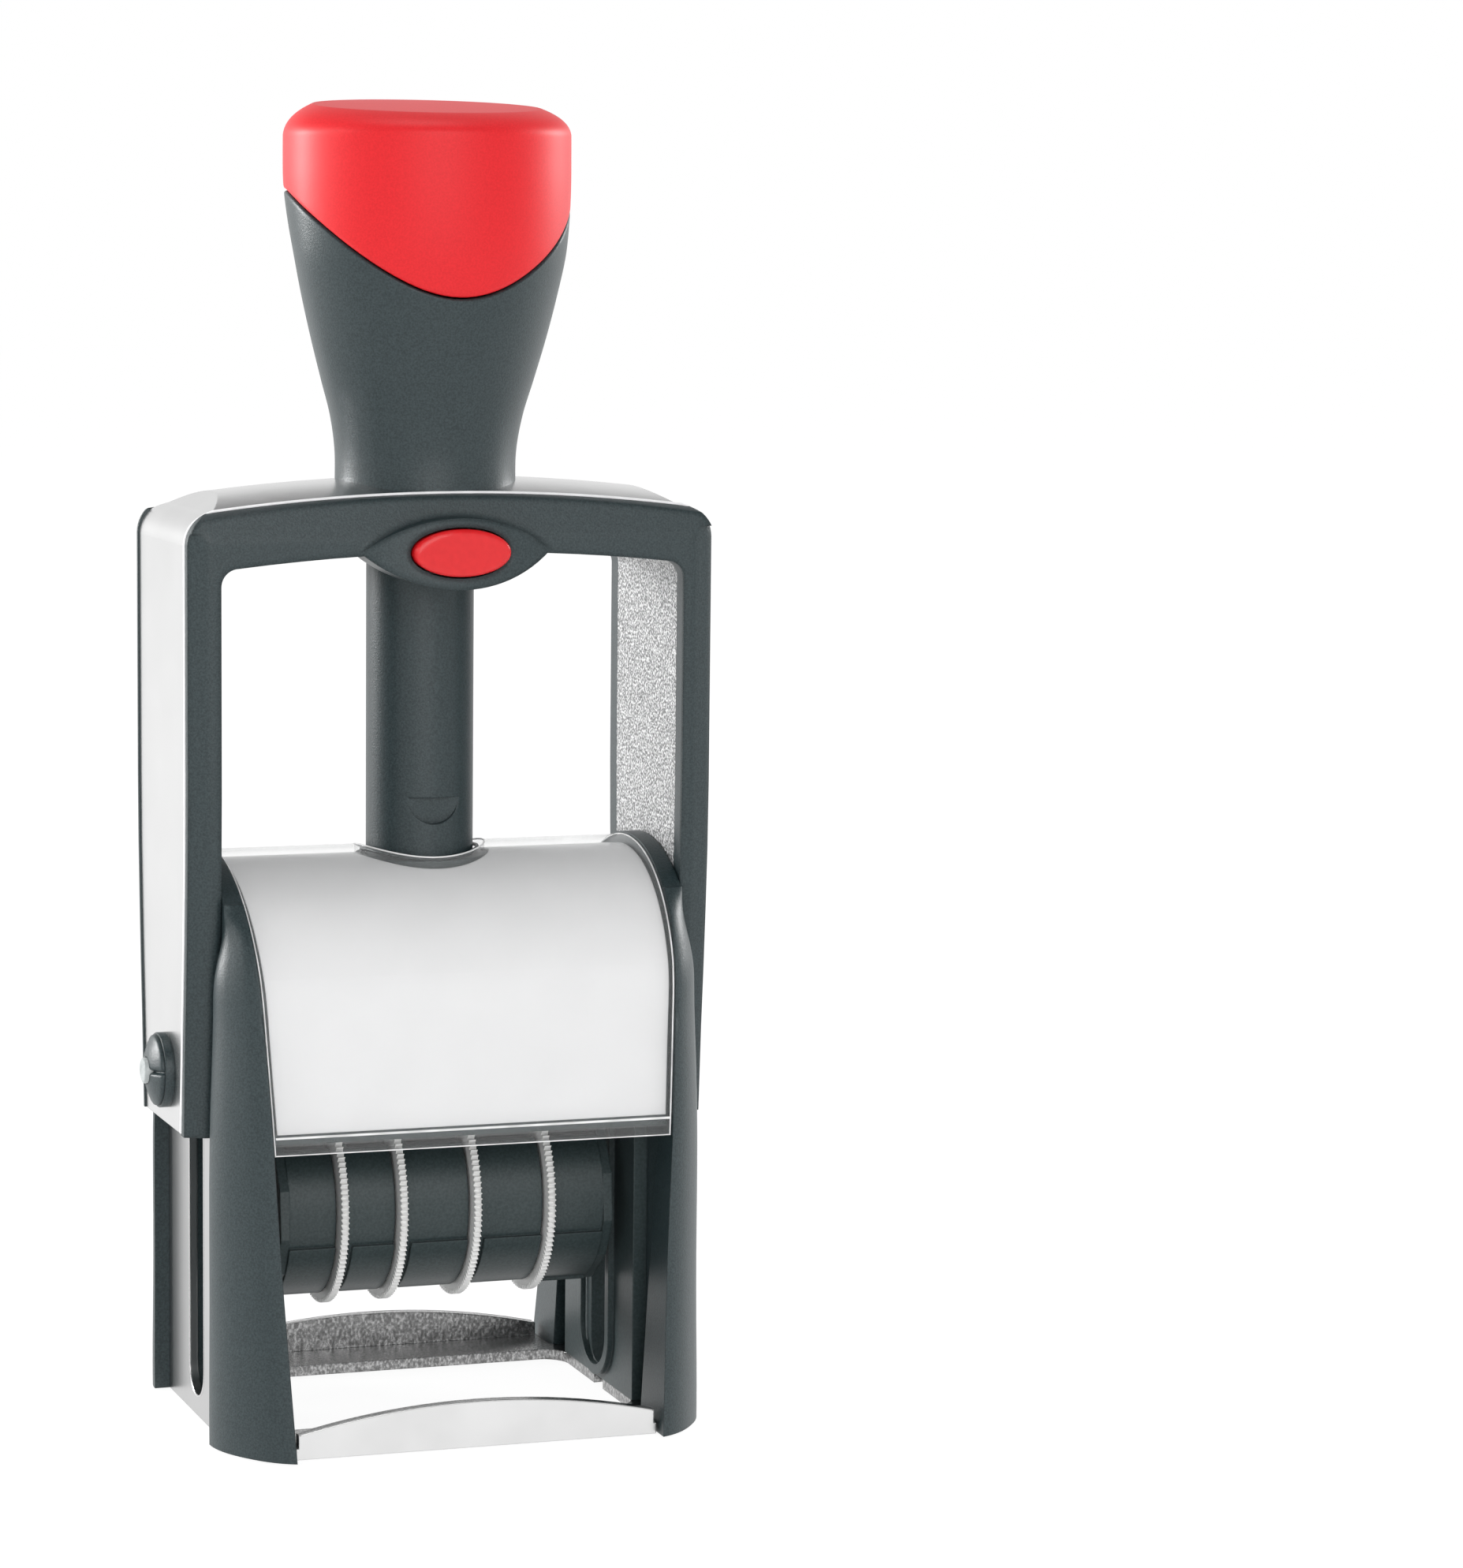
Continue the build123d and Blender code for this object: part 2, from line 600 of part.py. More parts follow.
def lobed_knob():
    """Three-lobed knob on a leg over the axle pin (right side)."""
    face_x = STRAP_FACE_X
    cap = rod_x(4.33, face_x, face_x + 1.05, 0, AXLE_Z) + rod_x(4.15, face_x, face_x + 1.5, 0, AXLE_Z)
    cap += Pos(face_x + 1.95, 0, AXLE_Z) * Rot(0, 90, 0) * Cone(4.15, 2.9, 0.9)
    groove = box(face_x + 1.1, face_x + 4, -0.3, 0.3, AXLE_Z, AXLE_Z + 6)
    for turn in (55, 175, 295):
        cap -= groove.rotate(Axis((0, 0, AXLE_Z), (1, 0, 0)), turn)
    return cap - rod_x(1.52, face_x + 1.6, face_x + 4, 0, AXLE_Z)


def cap_rivets():
    """Rivet heads in the middle of the two knobs."""
    rivet = rod_x(1.5, STRAP_FACE_X + 1.6, STRAP_FACE_X + 2.85, 0, AXLE_Z)
    return solids_of(rivet, mirror(rivet, about=Plane.YZ))


# ---- die carriage -------------------------------------------------------------------
def bay_right(index):
    """Right end of a band's bay: the left face of its wheel."""
    return WHEEL_X[index] - WHEEL_T / 2


def cheek_plate():
    """Right side plate of the carriage."""
    half = [(0, GUARD_BOTTOM), (3.4, GUARD_BOTTOM), (8.5, 18.0), (10.9, 22.5), (10.4, 28.0), (7.4, 33.0),
            (7.2, AXLE_Z), (4.8, 48.5), (0, 48.5)]
    face = make_face(Polyline(*half, *[(-y, z) for y, z in reversed(half[1:-1])], close=True))
    return Pos(CARRIAGE_X - CHEEK_T, 0, 0) * extrude(Plane.YZ * face, CHEEK_T)


def wheel_guard(left, right):
    """Curved guards at the front and back of a bay, stepped, just inside the wheels' rims."""
    lower = rod_x(GUARD_R, left, right, 0, WHEEL_Z) - rod_x(GUARD_R - GUARD_T, left - 1, right + 1, 0, WHEEL_Z)
    upper = rod_x(GUARD_UPPER_R, left, right, 0, WHEEL_Z)
    upper -= rod_x(GUARD_UPPER_R - GUARD_T, left - 1, right + 1, 0, WHEEL_Z)
    guard = (lower & box(left, right, -20, 20, GUARD_BOTTOM, GUARD_STEP_Z))
    guard += upper & box(left, right, -20, 20, GUARD_STEP_Z - 0.6, GUARD_TOP)
    bottom_y = math.sqrt(GUARD_R ** 2 - (WHEEL_Z - GUARD_BOTTOM) ** 2)
    return guard + box(left, right, -bottom_y, bottom_y, GUARD_BOTTOM, GUARD_BOTTOM + 1.2)


def carriage_frame():
    """Side plates, spine, partitions between the wheels and guards round the bands."""
    inner = CARRIAGE_X - CHEEK_T
    wheel_top = WHEEL_Z + WHEEL_R
    frame = both(cheek_plate())
    frame += box(-inner, inner, -3, 3, wheel_top + 0.8, ANVIL_FOOT)
    for index in range(4):
        left = BAY_LEFT_X[index]
        right = bay_right(index) - 0.3
        frame += wheel_guard(left, right)
        if index:
            frame += box(left - PARTITION_T, left, -3.4, 3.4, GUARD_BOTTOM, ANVIL_FOOT)
            frame += rod_x(GUARD_UPPER_R, left - PARTITION_T, left, 0, WHEEL_Z)
    right_block = WHEEL_X[3] + WHEEL_T / 2 + 0.3
    frame += box(right_block, inner, -4.0, 4.0, GUARD_BOTTOM, ANVIL_FOOT)
    frame += wheel_guard(right_block, inner)
    frame -= rod_x(WHEEL_AXLE_R + 0.02, -30, 30, 0, WHEEL_Z)
    return frame - rod_x(PIN_R + RUN, -30, 30, 0, AXLE_Z)


def flip_cams():
    """Discs on the carriage's sides that face the slot guides."""
    cam = rod_x(4.8, CARRIAGE_X, CARRIAGE_X + 0.9, 0, AXLE_Z)
    cam += box(CARRIAGE_X, CARRIAGE_X + 0.9, -1.6, 1.6, AXLE_Z - 9.5, AXLE_Z)
    cam -= rod_x(PIN_R + RUN, 10, 30, 0, AXLE_Z)
    return solids_of(cam, mirror(cam, about=Plane.YZ))


def print_anvil():
    """Block over which the bands run at the print face."""
    inner = CARRIAGE_X - CHEEK_T
    top = AXLE_Z + PRINT_REACH - TYPE_H - BAND_T
    block = box(-inner, inner, -BAND_IN + 0.05, BAND_IN - 0.05, ANVIL_FOOT, top - 0.03)
    corners = block.edges().filter_by(Axis.X).group_by(Axis.Z)[-1]
    return fillet(corners, 1.5)


def band(index):
    """Endless rubber band round the wheel's hub and the anvil, with a raised type bar."""
    left = BAY_LEFT_X[index] + 0.3
    right = bay_right(index) - 0.25
    top = AXLE_Z + PRINT_REACH - TYPE_H

    def loop(half, upper, corner):
        block = box(left, right, -half, half, WHEEL_Z, upper)
        edges = block.edges().filter_by(Axis.X).group_by(Axis.Z)[-1]
        return fillet(edges, corner) + rod_x(half, left, right, 0, WHEEL_Z)

    strip = loop(BAND_IN + BAND_T, top, 2.5) - loop(BAND_IN, top - BAND_T, 1.5)
    type_bar = box(left + 0.4, right - 0.4, -2.5, 2.5, top, top + TYPE_H)
    return strip + type_bar


def thumb_wheel(index):
    """Toothed disc with the hub that drives its band."""
    x = WHEEL_X[index]
    points = []
    for step in range(2 * WHEEL_TEETH):
        angle = math.pi * step / WHEEL_TEETH
        r = WHEEL_R - (0.0 if step % 2 else 0.5)
        points.append((r * math.cos(angle), WHEEL_Z + r * math.sin(angle)))
    disc = extrude(Plane.YZ * make_face(Polyline(*points, close=True)), WHEEL_T)
    wheel = Pos(x - WHEEL_T / 2, 0, 0) * disc
    wheel += rod_x(HUB_R, BAY_LEFT_X[index] + 0.35, x, 0, WHEEL_Z)
    return wheel - rod_x(WHEEL_AXLE_R + RUN, -30, 30, 0, WHEEL_Z)


def wheel_axle():
    """Steel rod through the four wheels."""
    return rod_x(WHEEL_AXLE_R, -CARRIAGE_X, CARRIAGE_X, 0, WHEEL_Z)


def band_springs():
    """Bowed leaf in each band's loop that keeps it tight."""
    leaves = []
    for index in range(4):
        left = BAY_LEFT_X[index] + 0.8
        right = bay_right(index) - 0.8
        low, high = 31.5, WHEEL_Z + WHEEL_R + 0.78
        bow = make_face([
            ThreePointArc((-4.2, low), (0, high), (4.2, low)), Line((4.2, low), (3.85, low)),
            ThreePointArc((3.85, low), (0, high - 0.4), (-3.85, low)), Line((-3.85, low), (-4.2, low))])
        leaves.append(Pos(left, 0, 0) * extrude(Plane.YZ * bow, right - left))
    return solids_of(*leaves)


# ---- ink pad ------------------------------------------------------------------------
def ink_pad_tray():
    """Drawer for the ink pad, whose back plate closes the body under the roof."""
    lid = box(-TRAY_X, TRAY_X, -9.0, 15.2, TRAY_TOP - TRAY_LID_T, TRAY_TOP)
    walls = box(-TRAY_X, TRAY_X, -9.0, 15.2, RAIL_TOP + 0.05, TRAY_TOP)
    walls -= box(-20.6, 20.6, -8.0, 14.2, 50, TRAY_TOP - TRAY_LID_T)
    plate = side_profile(0, -TRAY_X, TRAY_X) - side_profile(-1.6, -TRAY_X - 1, TRAY_X + 1)
    plate &= box(-TRAY_X, TRAY_X, COVER_BACK_Y + 0.15, 30, 47.5, 62.0)
    lip = box(-8, 8, 18.6, 20.8, 49.6, 50.8)
    return lid + walls + plate + lip


def ink_pad():
    """Felt pad in the tray."""
    return box(-20.5, 20.5, -7.9, 8.0, PAD_FACE_Z, TRAY_TOP - TRAY_LID_T)


# ---- write the parts ----------------------------------------------------------------
def make_parts():
    """All nodes by name."""
    parts = {
        "base_frame": base_frame(),
        "base_screws": base_screws(),
        "clear_cover": clear_cover(),
        "label_card": label_card(),
        "top_housing": top_housing(),
        "guide_tube": guide_tube(),
        "spring_seat": spring_seat(),
        "return_spring": return_spring(),
        "yoke_core": yoke_core(),
        "yoke_strap": yoke_strap(),
        "yoke_front_trim": yoke_front_trim(),
        "yoke_back_trim": yoke_back_trim(),
        "yoke_bush": yoke_bush(),
        "grip": grip_body(),
        "grip_cap": grip_cap(),
        "grip_screws": grip_screws(),
        "plunger_rod": plunger_rod(),
        "axle_pins": axle_pins(),
        "pin_rollers": pin_rollers(),
        "cap_rivets": cap_rivets(),
        "lock_button": lock_button(),
        "lock_latch": lock_latch(),
        "button_spring": button_spring(),
        "carriage_frame": carriage_frame(),
        "flip_cams": flip_cams(),
        "print_anvil": print_anvil(),
        "wheel_axle": wheel_axle(),
        "band_springs": band_springs(),
        "ink_pad_tray": ink_pad_tray(),
        "ink_pad": ink_pad(),
    }
    right_sides = {"side_shell": side_shell(), "side_plate": side_plate(),
                   "inner_guide": inner_guide(), "axle_cap": lobed_knob()}
    for name, part in right_sides.items():
        parts["right_" + name] = part
        parts["left_" + name] = mirror(part, about=Plane.YZ)
    for index, name in enumerate(WHEEL_NAMES):
        parts["wheel_" + name] = thumb_wheel(index)
        parts["band_" + name] = band(index)
    return parts


os.makedirs("parts", exist_ok=True)
for node, shape in make_parts().items():
    export_step(shape, f"parts/{node}.step")
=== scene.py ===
"""Rotary date stamp: steel yoke, tall grip, windowed body and a carriage of date bands.

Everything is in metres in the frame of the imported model: +Z up, -Y to the front, +X to the right.
Lengths in this file are written in millimetres and multiplied by MM where a mesh is made.
"""
import json
import math

import bmesh
import bpy
import numpy as np
from mathutils import Matrix, Vector


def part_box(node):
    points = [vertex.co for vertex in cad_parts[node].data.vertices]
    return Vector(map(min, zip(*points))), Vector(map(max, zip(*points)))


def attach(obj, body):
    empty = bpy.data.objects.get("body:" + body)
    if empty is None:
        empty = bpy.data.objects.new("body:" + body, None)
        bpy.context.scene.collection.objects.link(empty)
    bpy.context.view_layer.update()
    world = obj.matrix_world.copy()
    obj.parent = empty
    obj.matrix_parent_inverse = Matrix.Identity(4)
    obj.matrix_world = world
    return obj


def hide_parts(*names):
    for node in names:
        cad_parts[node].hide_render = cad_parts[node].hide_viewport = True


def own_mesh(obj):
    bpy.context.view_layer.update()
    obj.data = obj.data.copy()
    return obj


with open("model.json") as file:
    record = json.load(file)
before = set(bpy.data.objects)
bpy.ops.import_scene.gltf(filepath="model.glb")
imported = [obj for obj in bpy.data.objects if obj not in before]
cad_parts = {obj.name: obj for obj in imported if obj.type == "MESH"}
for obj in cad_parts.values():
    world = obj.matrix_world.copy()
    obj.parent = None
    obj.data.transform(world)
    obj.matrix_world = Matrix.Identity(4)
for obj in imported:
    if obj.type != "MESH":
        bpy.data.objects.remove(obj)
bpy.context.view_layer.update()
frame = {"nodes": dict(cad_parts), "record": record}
NODES = frame["nodes"]
MM = 0.001


# ---- camera --------------------------------------------------------------------------
CAMERA_STAND = Vector((-155.9, -520.2, 139.9)) * MM
CAMERA_AIM = Vector((0.06, 0.0, 73.5)) * MM
CAMERA_ROLL = math.radians(0.183)
CAMERA_LENS, CAMERA_SHIFT_X, CAMERA_SHIFT_Y = 108.06, 0.1964, -0.002


def studio_camera():
    """A long lens a little to the left of the front, seven degrees above the desk."""
    data = bpy.data.cameras.new("camera")
    data.sensor_fit, data.sensor_width = "AUTO", 36.0
    data.lens = CAMERA_LENS
    data.shift_x, data.shift_y = CAMERA_SHIFT_X, CAMERA_SHIFT_Y
    data.clip_start, data.clip_end = 0.01, 20.0
    camera = bpy.data.objects.new("camera", data)
    bpy.context.scene.collection.objects.link(camera)
    turn = (CAMERA_AIM - CAMERA_STAND).to_track_quat("-Z", "Y").to_matrix().to_4x4()
    camera.matrix_world = Matrix.Translation(CAMERA_STAND) @ turn @ Matrix.Rotation(CAMERA_ROLL, 4, "Z")
    bpy.context.scene.camera = camera


studio_camera()


# ---- materials -----------------------------------------------------------------------
class Finish:
    """A material being built: nodes are added by type and joined by socket name."""

    def __init__(self, name):
        self.material = bpy.data.materials.new(name)
        self.material.use_nodes = True
        self.tree = self.material.node_tree
        self.tree.nodes.clear()
        self.output = self.add("ShaderNodeOutputMaterial")
        self.shader = self.add("ShaderNodeBsdfPrincipled")
        self.join(self.shader, "BSDF", self.output, "Surface")
        self.place = self.add("ShaderNodeTexCoord")

    def add(self, kind, **settings):
        """A node of the given type with some of its settings."""
        node = self.tree.nodes.new(kind)
        for name, value in settings.items():
            setattr(node, name, value)
        return node

    def join(self, a, out, b, into):
        """Link the named output of node a to the named input of node b."""
        self.tree.links.new(a.outputs[out], b.inputs[into])

    def noise(self, size_mm, detail=2.0, stretch=(1, 1, 1)):
        """Noise whose features are about size_mm across, on object coordinates."""
        node = self.add("ShaderNodeTexNoise")
        node.inputs["Scale"].default_value = 1.0
        node.inputs["Detail"].default_value = detail
        mapping = self.add("ShaderNodeMapping")
        mapping.inputs["Scale"].default_value = [s / (size_mm * MM) for s in stretch]
        self.join(self.place, "Object", mapping, "Vector")
        self.join(mapping, "Vector", node, "Vector")
        return node

    def ramp(self, source, out, stops):
        """Colour ramp over a factor; stops are (position, colour)."""
        node = self.add("ShaderNodeValToRGB")
        elements = node.color_ramp.elements
        while len(elements) < len(stops):
            elements.new(0.5)
        for element, (position, colour) in zip(elements, stops):
            element.position = position
            element.color = (*colour, 1.0)
        self.join(source, out, node, "Fac")
        return node

    def bump(self, source, out, depth_mm, edge_mm):
        """Relief of a given depth over edges rounded to a given radius."""
        node = self.add("ShaderNodeBump")
        node.inputs["Strength"].default_value = 1.0
        node.inputs["Distance"].default_value = depth_mm * MM
        self.join(source, out, node, "Height")
        edge = self.add("ShaderNodeBevel", samples=4)
        edge.inputs["Radius"].default_value = edge_mm * MM
        self.join(edge, "Normal", node, "Normal")
        self.join(node, "Normal", self.shader, "Normal")

    def set(self, **values):
        """Constants on the shader's own sockets, named with underscores for spaces."""
        for name, value in values.items():
            self.shader.inputs[name.replace("_", " ")].default_value = value


def grey(v):
    """Colour with three equal channels."""
    return (v, v, v)


def textured_plastic(name, dark, light, grain_mm, depth_mm, rough, specular, edge_mm):
    """Spark-eroded plastic: a fine grain that varies the colour a little and gives sparkle."""
    f = Finish(name)
    grain = f.noise(grain_mm, 3.0)
    colour = f.ramp(grain, "Fac", [(0.35, dark), (0.65, light)])
    f.join(colour, "Color", f.shader, "Base Color")
    f.bump(grain, "Fac", depth_mm, edge_mm)
    f.set(Roughness=rough, Specular_IOR_Level=specular)
    return f.material


def satin_steel(name, dark, light, rough):
    """Satin steel: almost even, with a very faint waviness."""
    f = Finish(name)
    cloud = f.noise(9.0, 2.0)
    colour = f.ramp(cloud, "Fac", [(0.3, grey(dark)), (0.7, grey(light))])
    f.join(colour, "Color", f.shader, "Base Color")
    grain = f.noise(0.25, 2.0)
    f.bump(grain, "Fac", 0.0008, 0.25)
    f.set(Metallic=1.0, Roughness=rough)
    return f.material


BAR_SKIN_Y = 22.0                # beyond this half depth lies only the outer face of each bar


def frame_steel():
    """Base frame: satin steel outside; the inner faces are darker, rough and pitted.

    The rough share falls from 1 to 0 where the distance from the XZ plane passes the skin of the bars.
    """
    f = Finish("frame_steel")
    split = f.add("ShaderNodeSeparateXYZ")
    f.join(f.place, "Object", split, "Vector")
    away = f.add("ShaderNodeMath", operation="ABSOLUTE")
    f.join(split, "Y", away, "Value")
    inside = f.add("ShaderNodeMapRange")
    inside.inputs["From Min"].default_value = BAR_SKIN_Y * MM
    inside.inputs["From Max"].default_value = (BAR_SKIN_Y + 0.4) * MM
    inside.inputs["To Min"].default_value = 1.0
    inside.inputs["To Max"].default_value = 0.0
    f.join(away, "Value", inside, "Value")
    pits = f.noise(0.3, 3.0, (1, 1, 0.7))
    rough = f.ramp(pits, "Fac", [(0.35, grey(0.16)), (0.5, grey(0.27)), (0.66, grey(0.48))])
    cloud = f.noise(7.0, 2.0)
    smooth = f.ramp(cloud, "Fac", [(0.3, grey(0.72)), (0.7, grey(0.78))])
    colour = f.add("ShaderNodeMix", data_type="RGBA")
    f.tree.links.new(inside.outputs["Result"], colour.inputs["Factor"])
    f.tree.links.new(smooth.outputs["Color"], colour.inputs[6])
    f.tree.links.new(rough.outputs["Color"], colour.inputs[7])
    f.tree.links.new(colour.outputs[2], f.shader.inputs["Base Color"])
    height = f.add("ShaderNodeMath", operation="MULTIPLY")
    f.join(inside, "Result", height, "Value")
    f.tree.links.new(pits.outputs["Fac"], height.inputs[1])
    f.bump(height, "Value", 0.025, 0.2)
    f.set(Metallic=1.0, Roughness=0.26)
    return f.material


def silver_casting():
    """Fine sparkling surface of the inner yoke; its bright silver flakes are partly a painted sheen of grazing
    light on the grain.
    """
    f = Finish("silver_casting")
    flakes_and_sheen = f.noise(0.3, 2.0)
    colour = f.ramp(flakes_and_sheen, "Fac", [(0.40, grey(0.12)), (0.5, (0.30, 0.305, 0.31)), (0.60, grey(0.72))])
    f.join(colour, "Color", f.shader, "Base Color")
    f.bump(flakes_and_sheen, "Fac", 0.05, 0.2)
    f.set(Metallic=0.3, Roughness=0.42)
    return f.material


def plain_metal(name, colour, rough):
    """Turned or drawn metal with a faint uneven surface."""
    f = Finish(name)
    grain = f.noise(0.3, 2.0)
    tone = f.ramp(grain, "Fac", [(0.3, tuple(c * 0.9 for c in colour)), (0.7, colour)])
    f.join(tone, "Color", f.shader, "Base Color")
    f.bump(grain, "Fac", 0.002, 0.1)
    f.set(Metallic=1.0, Roughness=rough)
    return f.material


def clear_plastic():
    """Clear window: nearly invisible face on; light grey towards its edges, a painted reflection of the bright
    surroundings at grazing angles.
    """
    f = Finish("clear_plastic")
    facing = f.add("ShaderNodeLayerWeight")
    facing.inputs["Blend"].default_value = 0.3
    stops = [(0.0, grey(0.05)), (0.55, grey(0.12)), (0.8, grey(0.55)), (0.95, grey(0.95))]
    cover = f.ramp(facing, "Facing", stops)
    f.join(cover, "Color", f.shader, "Alpha")
    tint = f.noise(20, 1.0)
    colour = f.ramp(tint, "Fac", [(0.3, (0.88, 0.89, 0.89)), (0.7, (0.90, 0.91, 0.91))])
    f.join(colour, "Color", f.shader, "Base Color")
    f.set(Roughness=0.06)
    return f.material


def clear_edge_glint():
    """Cut edge of the clear plastic painted pale grey: a painted glint of the light it catches."""
    f = Finish("clear_edge_glint")
    tint = f.noise(3, 1.0)
    colour = f.ramp(tint, "Fac", [(0.35, grey(0.66)), (0.6, grey(0.88))])
    f.join(colour, "Color", f.shader, "Base Color")
    f.set(Roughness=0.3)
    return f.material


DARK_GREY, LIGHT_GREY = (0.009, 0.020, 0.023), (0.026, 0.043, 0.047)

# dark and light colour, grain in mm, depth of relief in mm, roughness, specular level, rounding of edges in mm
PLASTICS = {
    "trim_plastic": (DARK_GREY, LIGHT_GREY, 0.22, 0.024, 0.4, 0.5, 1.1),
    "dark_plastic": (DARK_GREY, LIGHT_GREY, 0.22, 0.024, 0.4, 0.5, 0.25),
    "inner_plastic": ((0.024, 0.037, 0.039), (0.038, 0.055, 0.057), 0.3, 0.012, 0.4, 0.4, 0.25),
    "red_plastic": ((0.66, 0.008, 0.013), (0.74, 0.012, 0.018), 0.22, 0.006, 0.46, 0.34, 0.25),
    "glossy_red": ((0.66, 0.008, 0.012), (0.70, 0.010, 0.014), 0.8, 0.001, 0.12, 0.5, 0.5),
    "grey_rivet": ((0.38, 0.41, 0.41), (0.44, 0.47, 0.47), 0.4, 0.004, 0.3, 0.5, 0.25),
    # near white, for the bead on the strap's front edge: a painted highlight
    "painted_highlight": ((0.86, 0.86, 0.87), (0.93, 0.93, 0.94), 1.5, 0.001, 0.3, 0.6, 0.02),
    # lighter than the inner plastic, for the rim of the slot guide: a painted highlight
    "guide_edge_highlight": ((0.10, 0.125, 0.13), (0.13, 0.155, 0.16), 0.4, 0.004, 0.4, 0.5, 0.02),
    "white_card": ((0.77, 0.77, 0.775), (0.79, 0.79, 0.795), 6.0, 0.001, 0.5, 0.3, 0.25),
    "off_white_plastic": ((0.86, 0.86, 0.85), (0.90, 0.90, 0.89), 0.5, 0.006, 0.4, 0.4, 0.03),
    "band_rubber": ((0.014, 0.018, 0.019), (0.022, 0.027, 0.028), 0.4, 0.01, 0.55, 0.3, 0.1),
    "ink_felt": ((0.012, 0.012, 0.03), (0.03, 0.03, 0.06), 0.25, 0.08, 0.85, 0.1, 0.25),
}
MATERIALS = {name: textured_plastic(name, *recipe) for name, recipe in PLASTICS.items()}
MATERIALS.update({
    "polished_steel": satin_steel("polished_steel", 0.645, 0.675, 0.24),
    "plate_steel": satin_steel("plate_steel", 0.47, 0.50, 0.3),
    "frame_steel": frame_steel(),
    "silver_casting": silver_casting(),
    "zinc": plain_metal("zinc", (0.62, 0.63, 0.64), 0.35),
    "spring_steel": plain_metal("spring_steel", (0.45, 0.46, 0.47), 0.3),
    "clear_plastic": clear_plastic(),
    "clear_edge_glint": clear_edge_glint(),
})

# nodes whose finish differs from the other pieces of their material slot
OWN_FINISH = {
    "base_frame": "frame_steel",
    "left_side_plate": "plate_steel",
    "right_side_plate": "plate_steel",
    "lock_button": "glossy_red",
    "yoke_front_trim": "trim_plastic",
}

for part in frame["record"]["subparts"]:
    node = NODES[part["node"]]
    node.data.materials.clear()
    node.data.materials.append(MATERIALS[OWN_FINISH.get(part["node"], part["material_slot"])])


# ---- studio --------------------------------------------------------------------------
def seen_white(tree):
    """1 for what the camera sees, also in mirrors and through glass."""
    path = tree.nodes.new("ShaderNodeLightPath")
    total = None
    for ray in ("Is Camera Ray", "Is Glossy Ray", "Is Transmission Ray"):
        if total is None:
            total = path.outputs[ray]
            continue
        join = tree.nodes.new("ShaderNodeMath")
        join.operation = "MAXIMUM"
        tree.links.new(total, join.inputs[0])
        tree.links.new(path.outputs[ray], join.inputs[1])
        total = join.outputs[0]
    return total


WORLD_LIGHT = 0.6
MIRRORED_SKY = [(0.3, 1.0), (0.6, 0.34), (0.95, 0.2)]     # height of the direction, tone in mirrors
FLOOR_HALF, FLOOR_GLOW, FLOOR_GLOW_SHARE = 4.0, 1.07, 0.86


def studio_world():
    """Even soft light from all round, seen as white; the part overhead is darker in mirrors."""
    world = bpy.data.worlds.new("studio")
    bpy.context.scene.world = world
    world.use_nodes = True
    tree = world.node_tree
    tree.nodes.clear()
    out = tree.nodes.new("ShaderNodeOutputWorld")
    mix = tree.nodes.new("ShaderNodeMixShader")
    over = tree.nodes.new("ShaderNodeMixShader")
    soft, seen, mirrored = [tree.nodes.new("ShaderNodeBackground") for _ in range(3)]
    soft.inputs["Strength"].default_value = WORLD_LIGHT
    place = tree.nodes.new("ShaderNodeTexCoord")
    split = tree.nodes.new("ShaderNodeSeparateXYZ")
    sky = tree.nodes.new("ShaderNodeValToRGB")
    sky.color_ramp.elements.new(0.5)
    for element, (position, tone) in zip(sky.color_ramp.elements, MIRRORED_SKY):
        element.position, element.color = position, (tone, tone, tone, 1)
    for light in (soft, seen):
        light.inputs["Color"].default_value = (1, 1, 1, 1)
    tree.links.new(place.outputs["Generated"], split.inputs[0])
    tree.links.new(split.outputs["Z"], sky.inputs["Fac"])
    tree.links.new(sky.outputs["Color"], mirrored.inputs["Color"])
    path = tree.nodes.new("ShaderNodeLightPath")
    tree.links.new(path.outputs["Is Glossy Ray"], over.inputs[0])
    tree.links.new(seen.outputs[0], over.inputs[1])
    tree.links.new(mirrored.outputs[0], over.inputs[2])
    tree.links.new(seen_white(tree), mix.inputs[0])
    tree.links.new(soft.outputs[0], mix.inputs[1])
    tree.links.new(over.outputs[0], mix.inputs[2])
    tree.links.new(mix.outputs[0], out.inputs[0])


def studio_floor():
    """Wide pale floor that keeps a faint shadow under the stamp."""
    s = FLOOR_HALF
    mesh = bpy.data.meshes.new("floor")
    mesh.from_pydata([(-s, -s, 0), (s, -s, 0), (s, s, 0), (-s, s, 0)], [], [(0, 1, 2, 3)])
    floor = bpy.data.objects.new("floor", mesh)
    floor.location.z = -0.0002
    bpy.context.scene.collection.objects.link(floor)
    material = bpy.data.materials.new("floor")
    material.use_nodes = True
    tree = material.node_tree
    tree.nodes.clear()
    out = tree.nodes.new("ShaderNodeOutputMaterial")
    matte = tree.nodes.new("ShaderNodeBsdfDiffuse")
    matte.inputs["Color"].default_value = (0.95, 0.95, 0.95, 1)
    glow = tree.nodes.new("ShaderNodeEmission")
    glow.inputs["Color"].default_value = (1, 1, 1, 1)
    glow.inputs["Strength"].default_value = FLOOR_GLOW
    mix = tree.nodes.new("ShaderNodeMixShader")
    share = tree.nodes.new("ShaderNodeMath")
    share.operation = "MULTIPLY"
    share.inputs[1].default_value = FLOOR_GLOW_SHARE
    tree.links.new(seen_white(tree), share.inputs[0])
    tree.links.new(share.outputs[0], mix.inputs[0])
    tree.links.new(matte.outputs[0], mix.inputs[1])
    tree.links.new(glow.outputs[0], mix.inputs[2])
    tree.links.new(mix.outputs[0], out.inputs[0])
    mesh.materials.append(material)


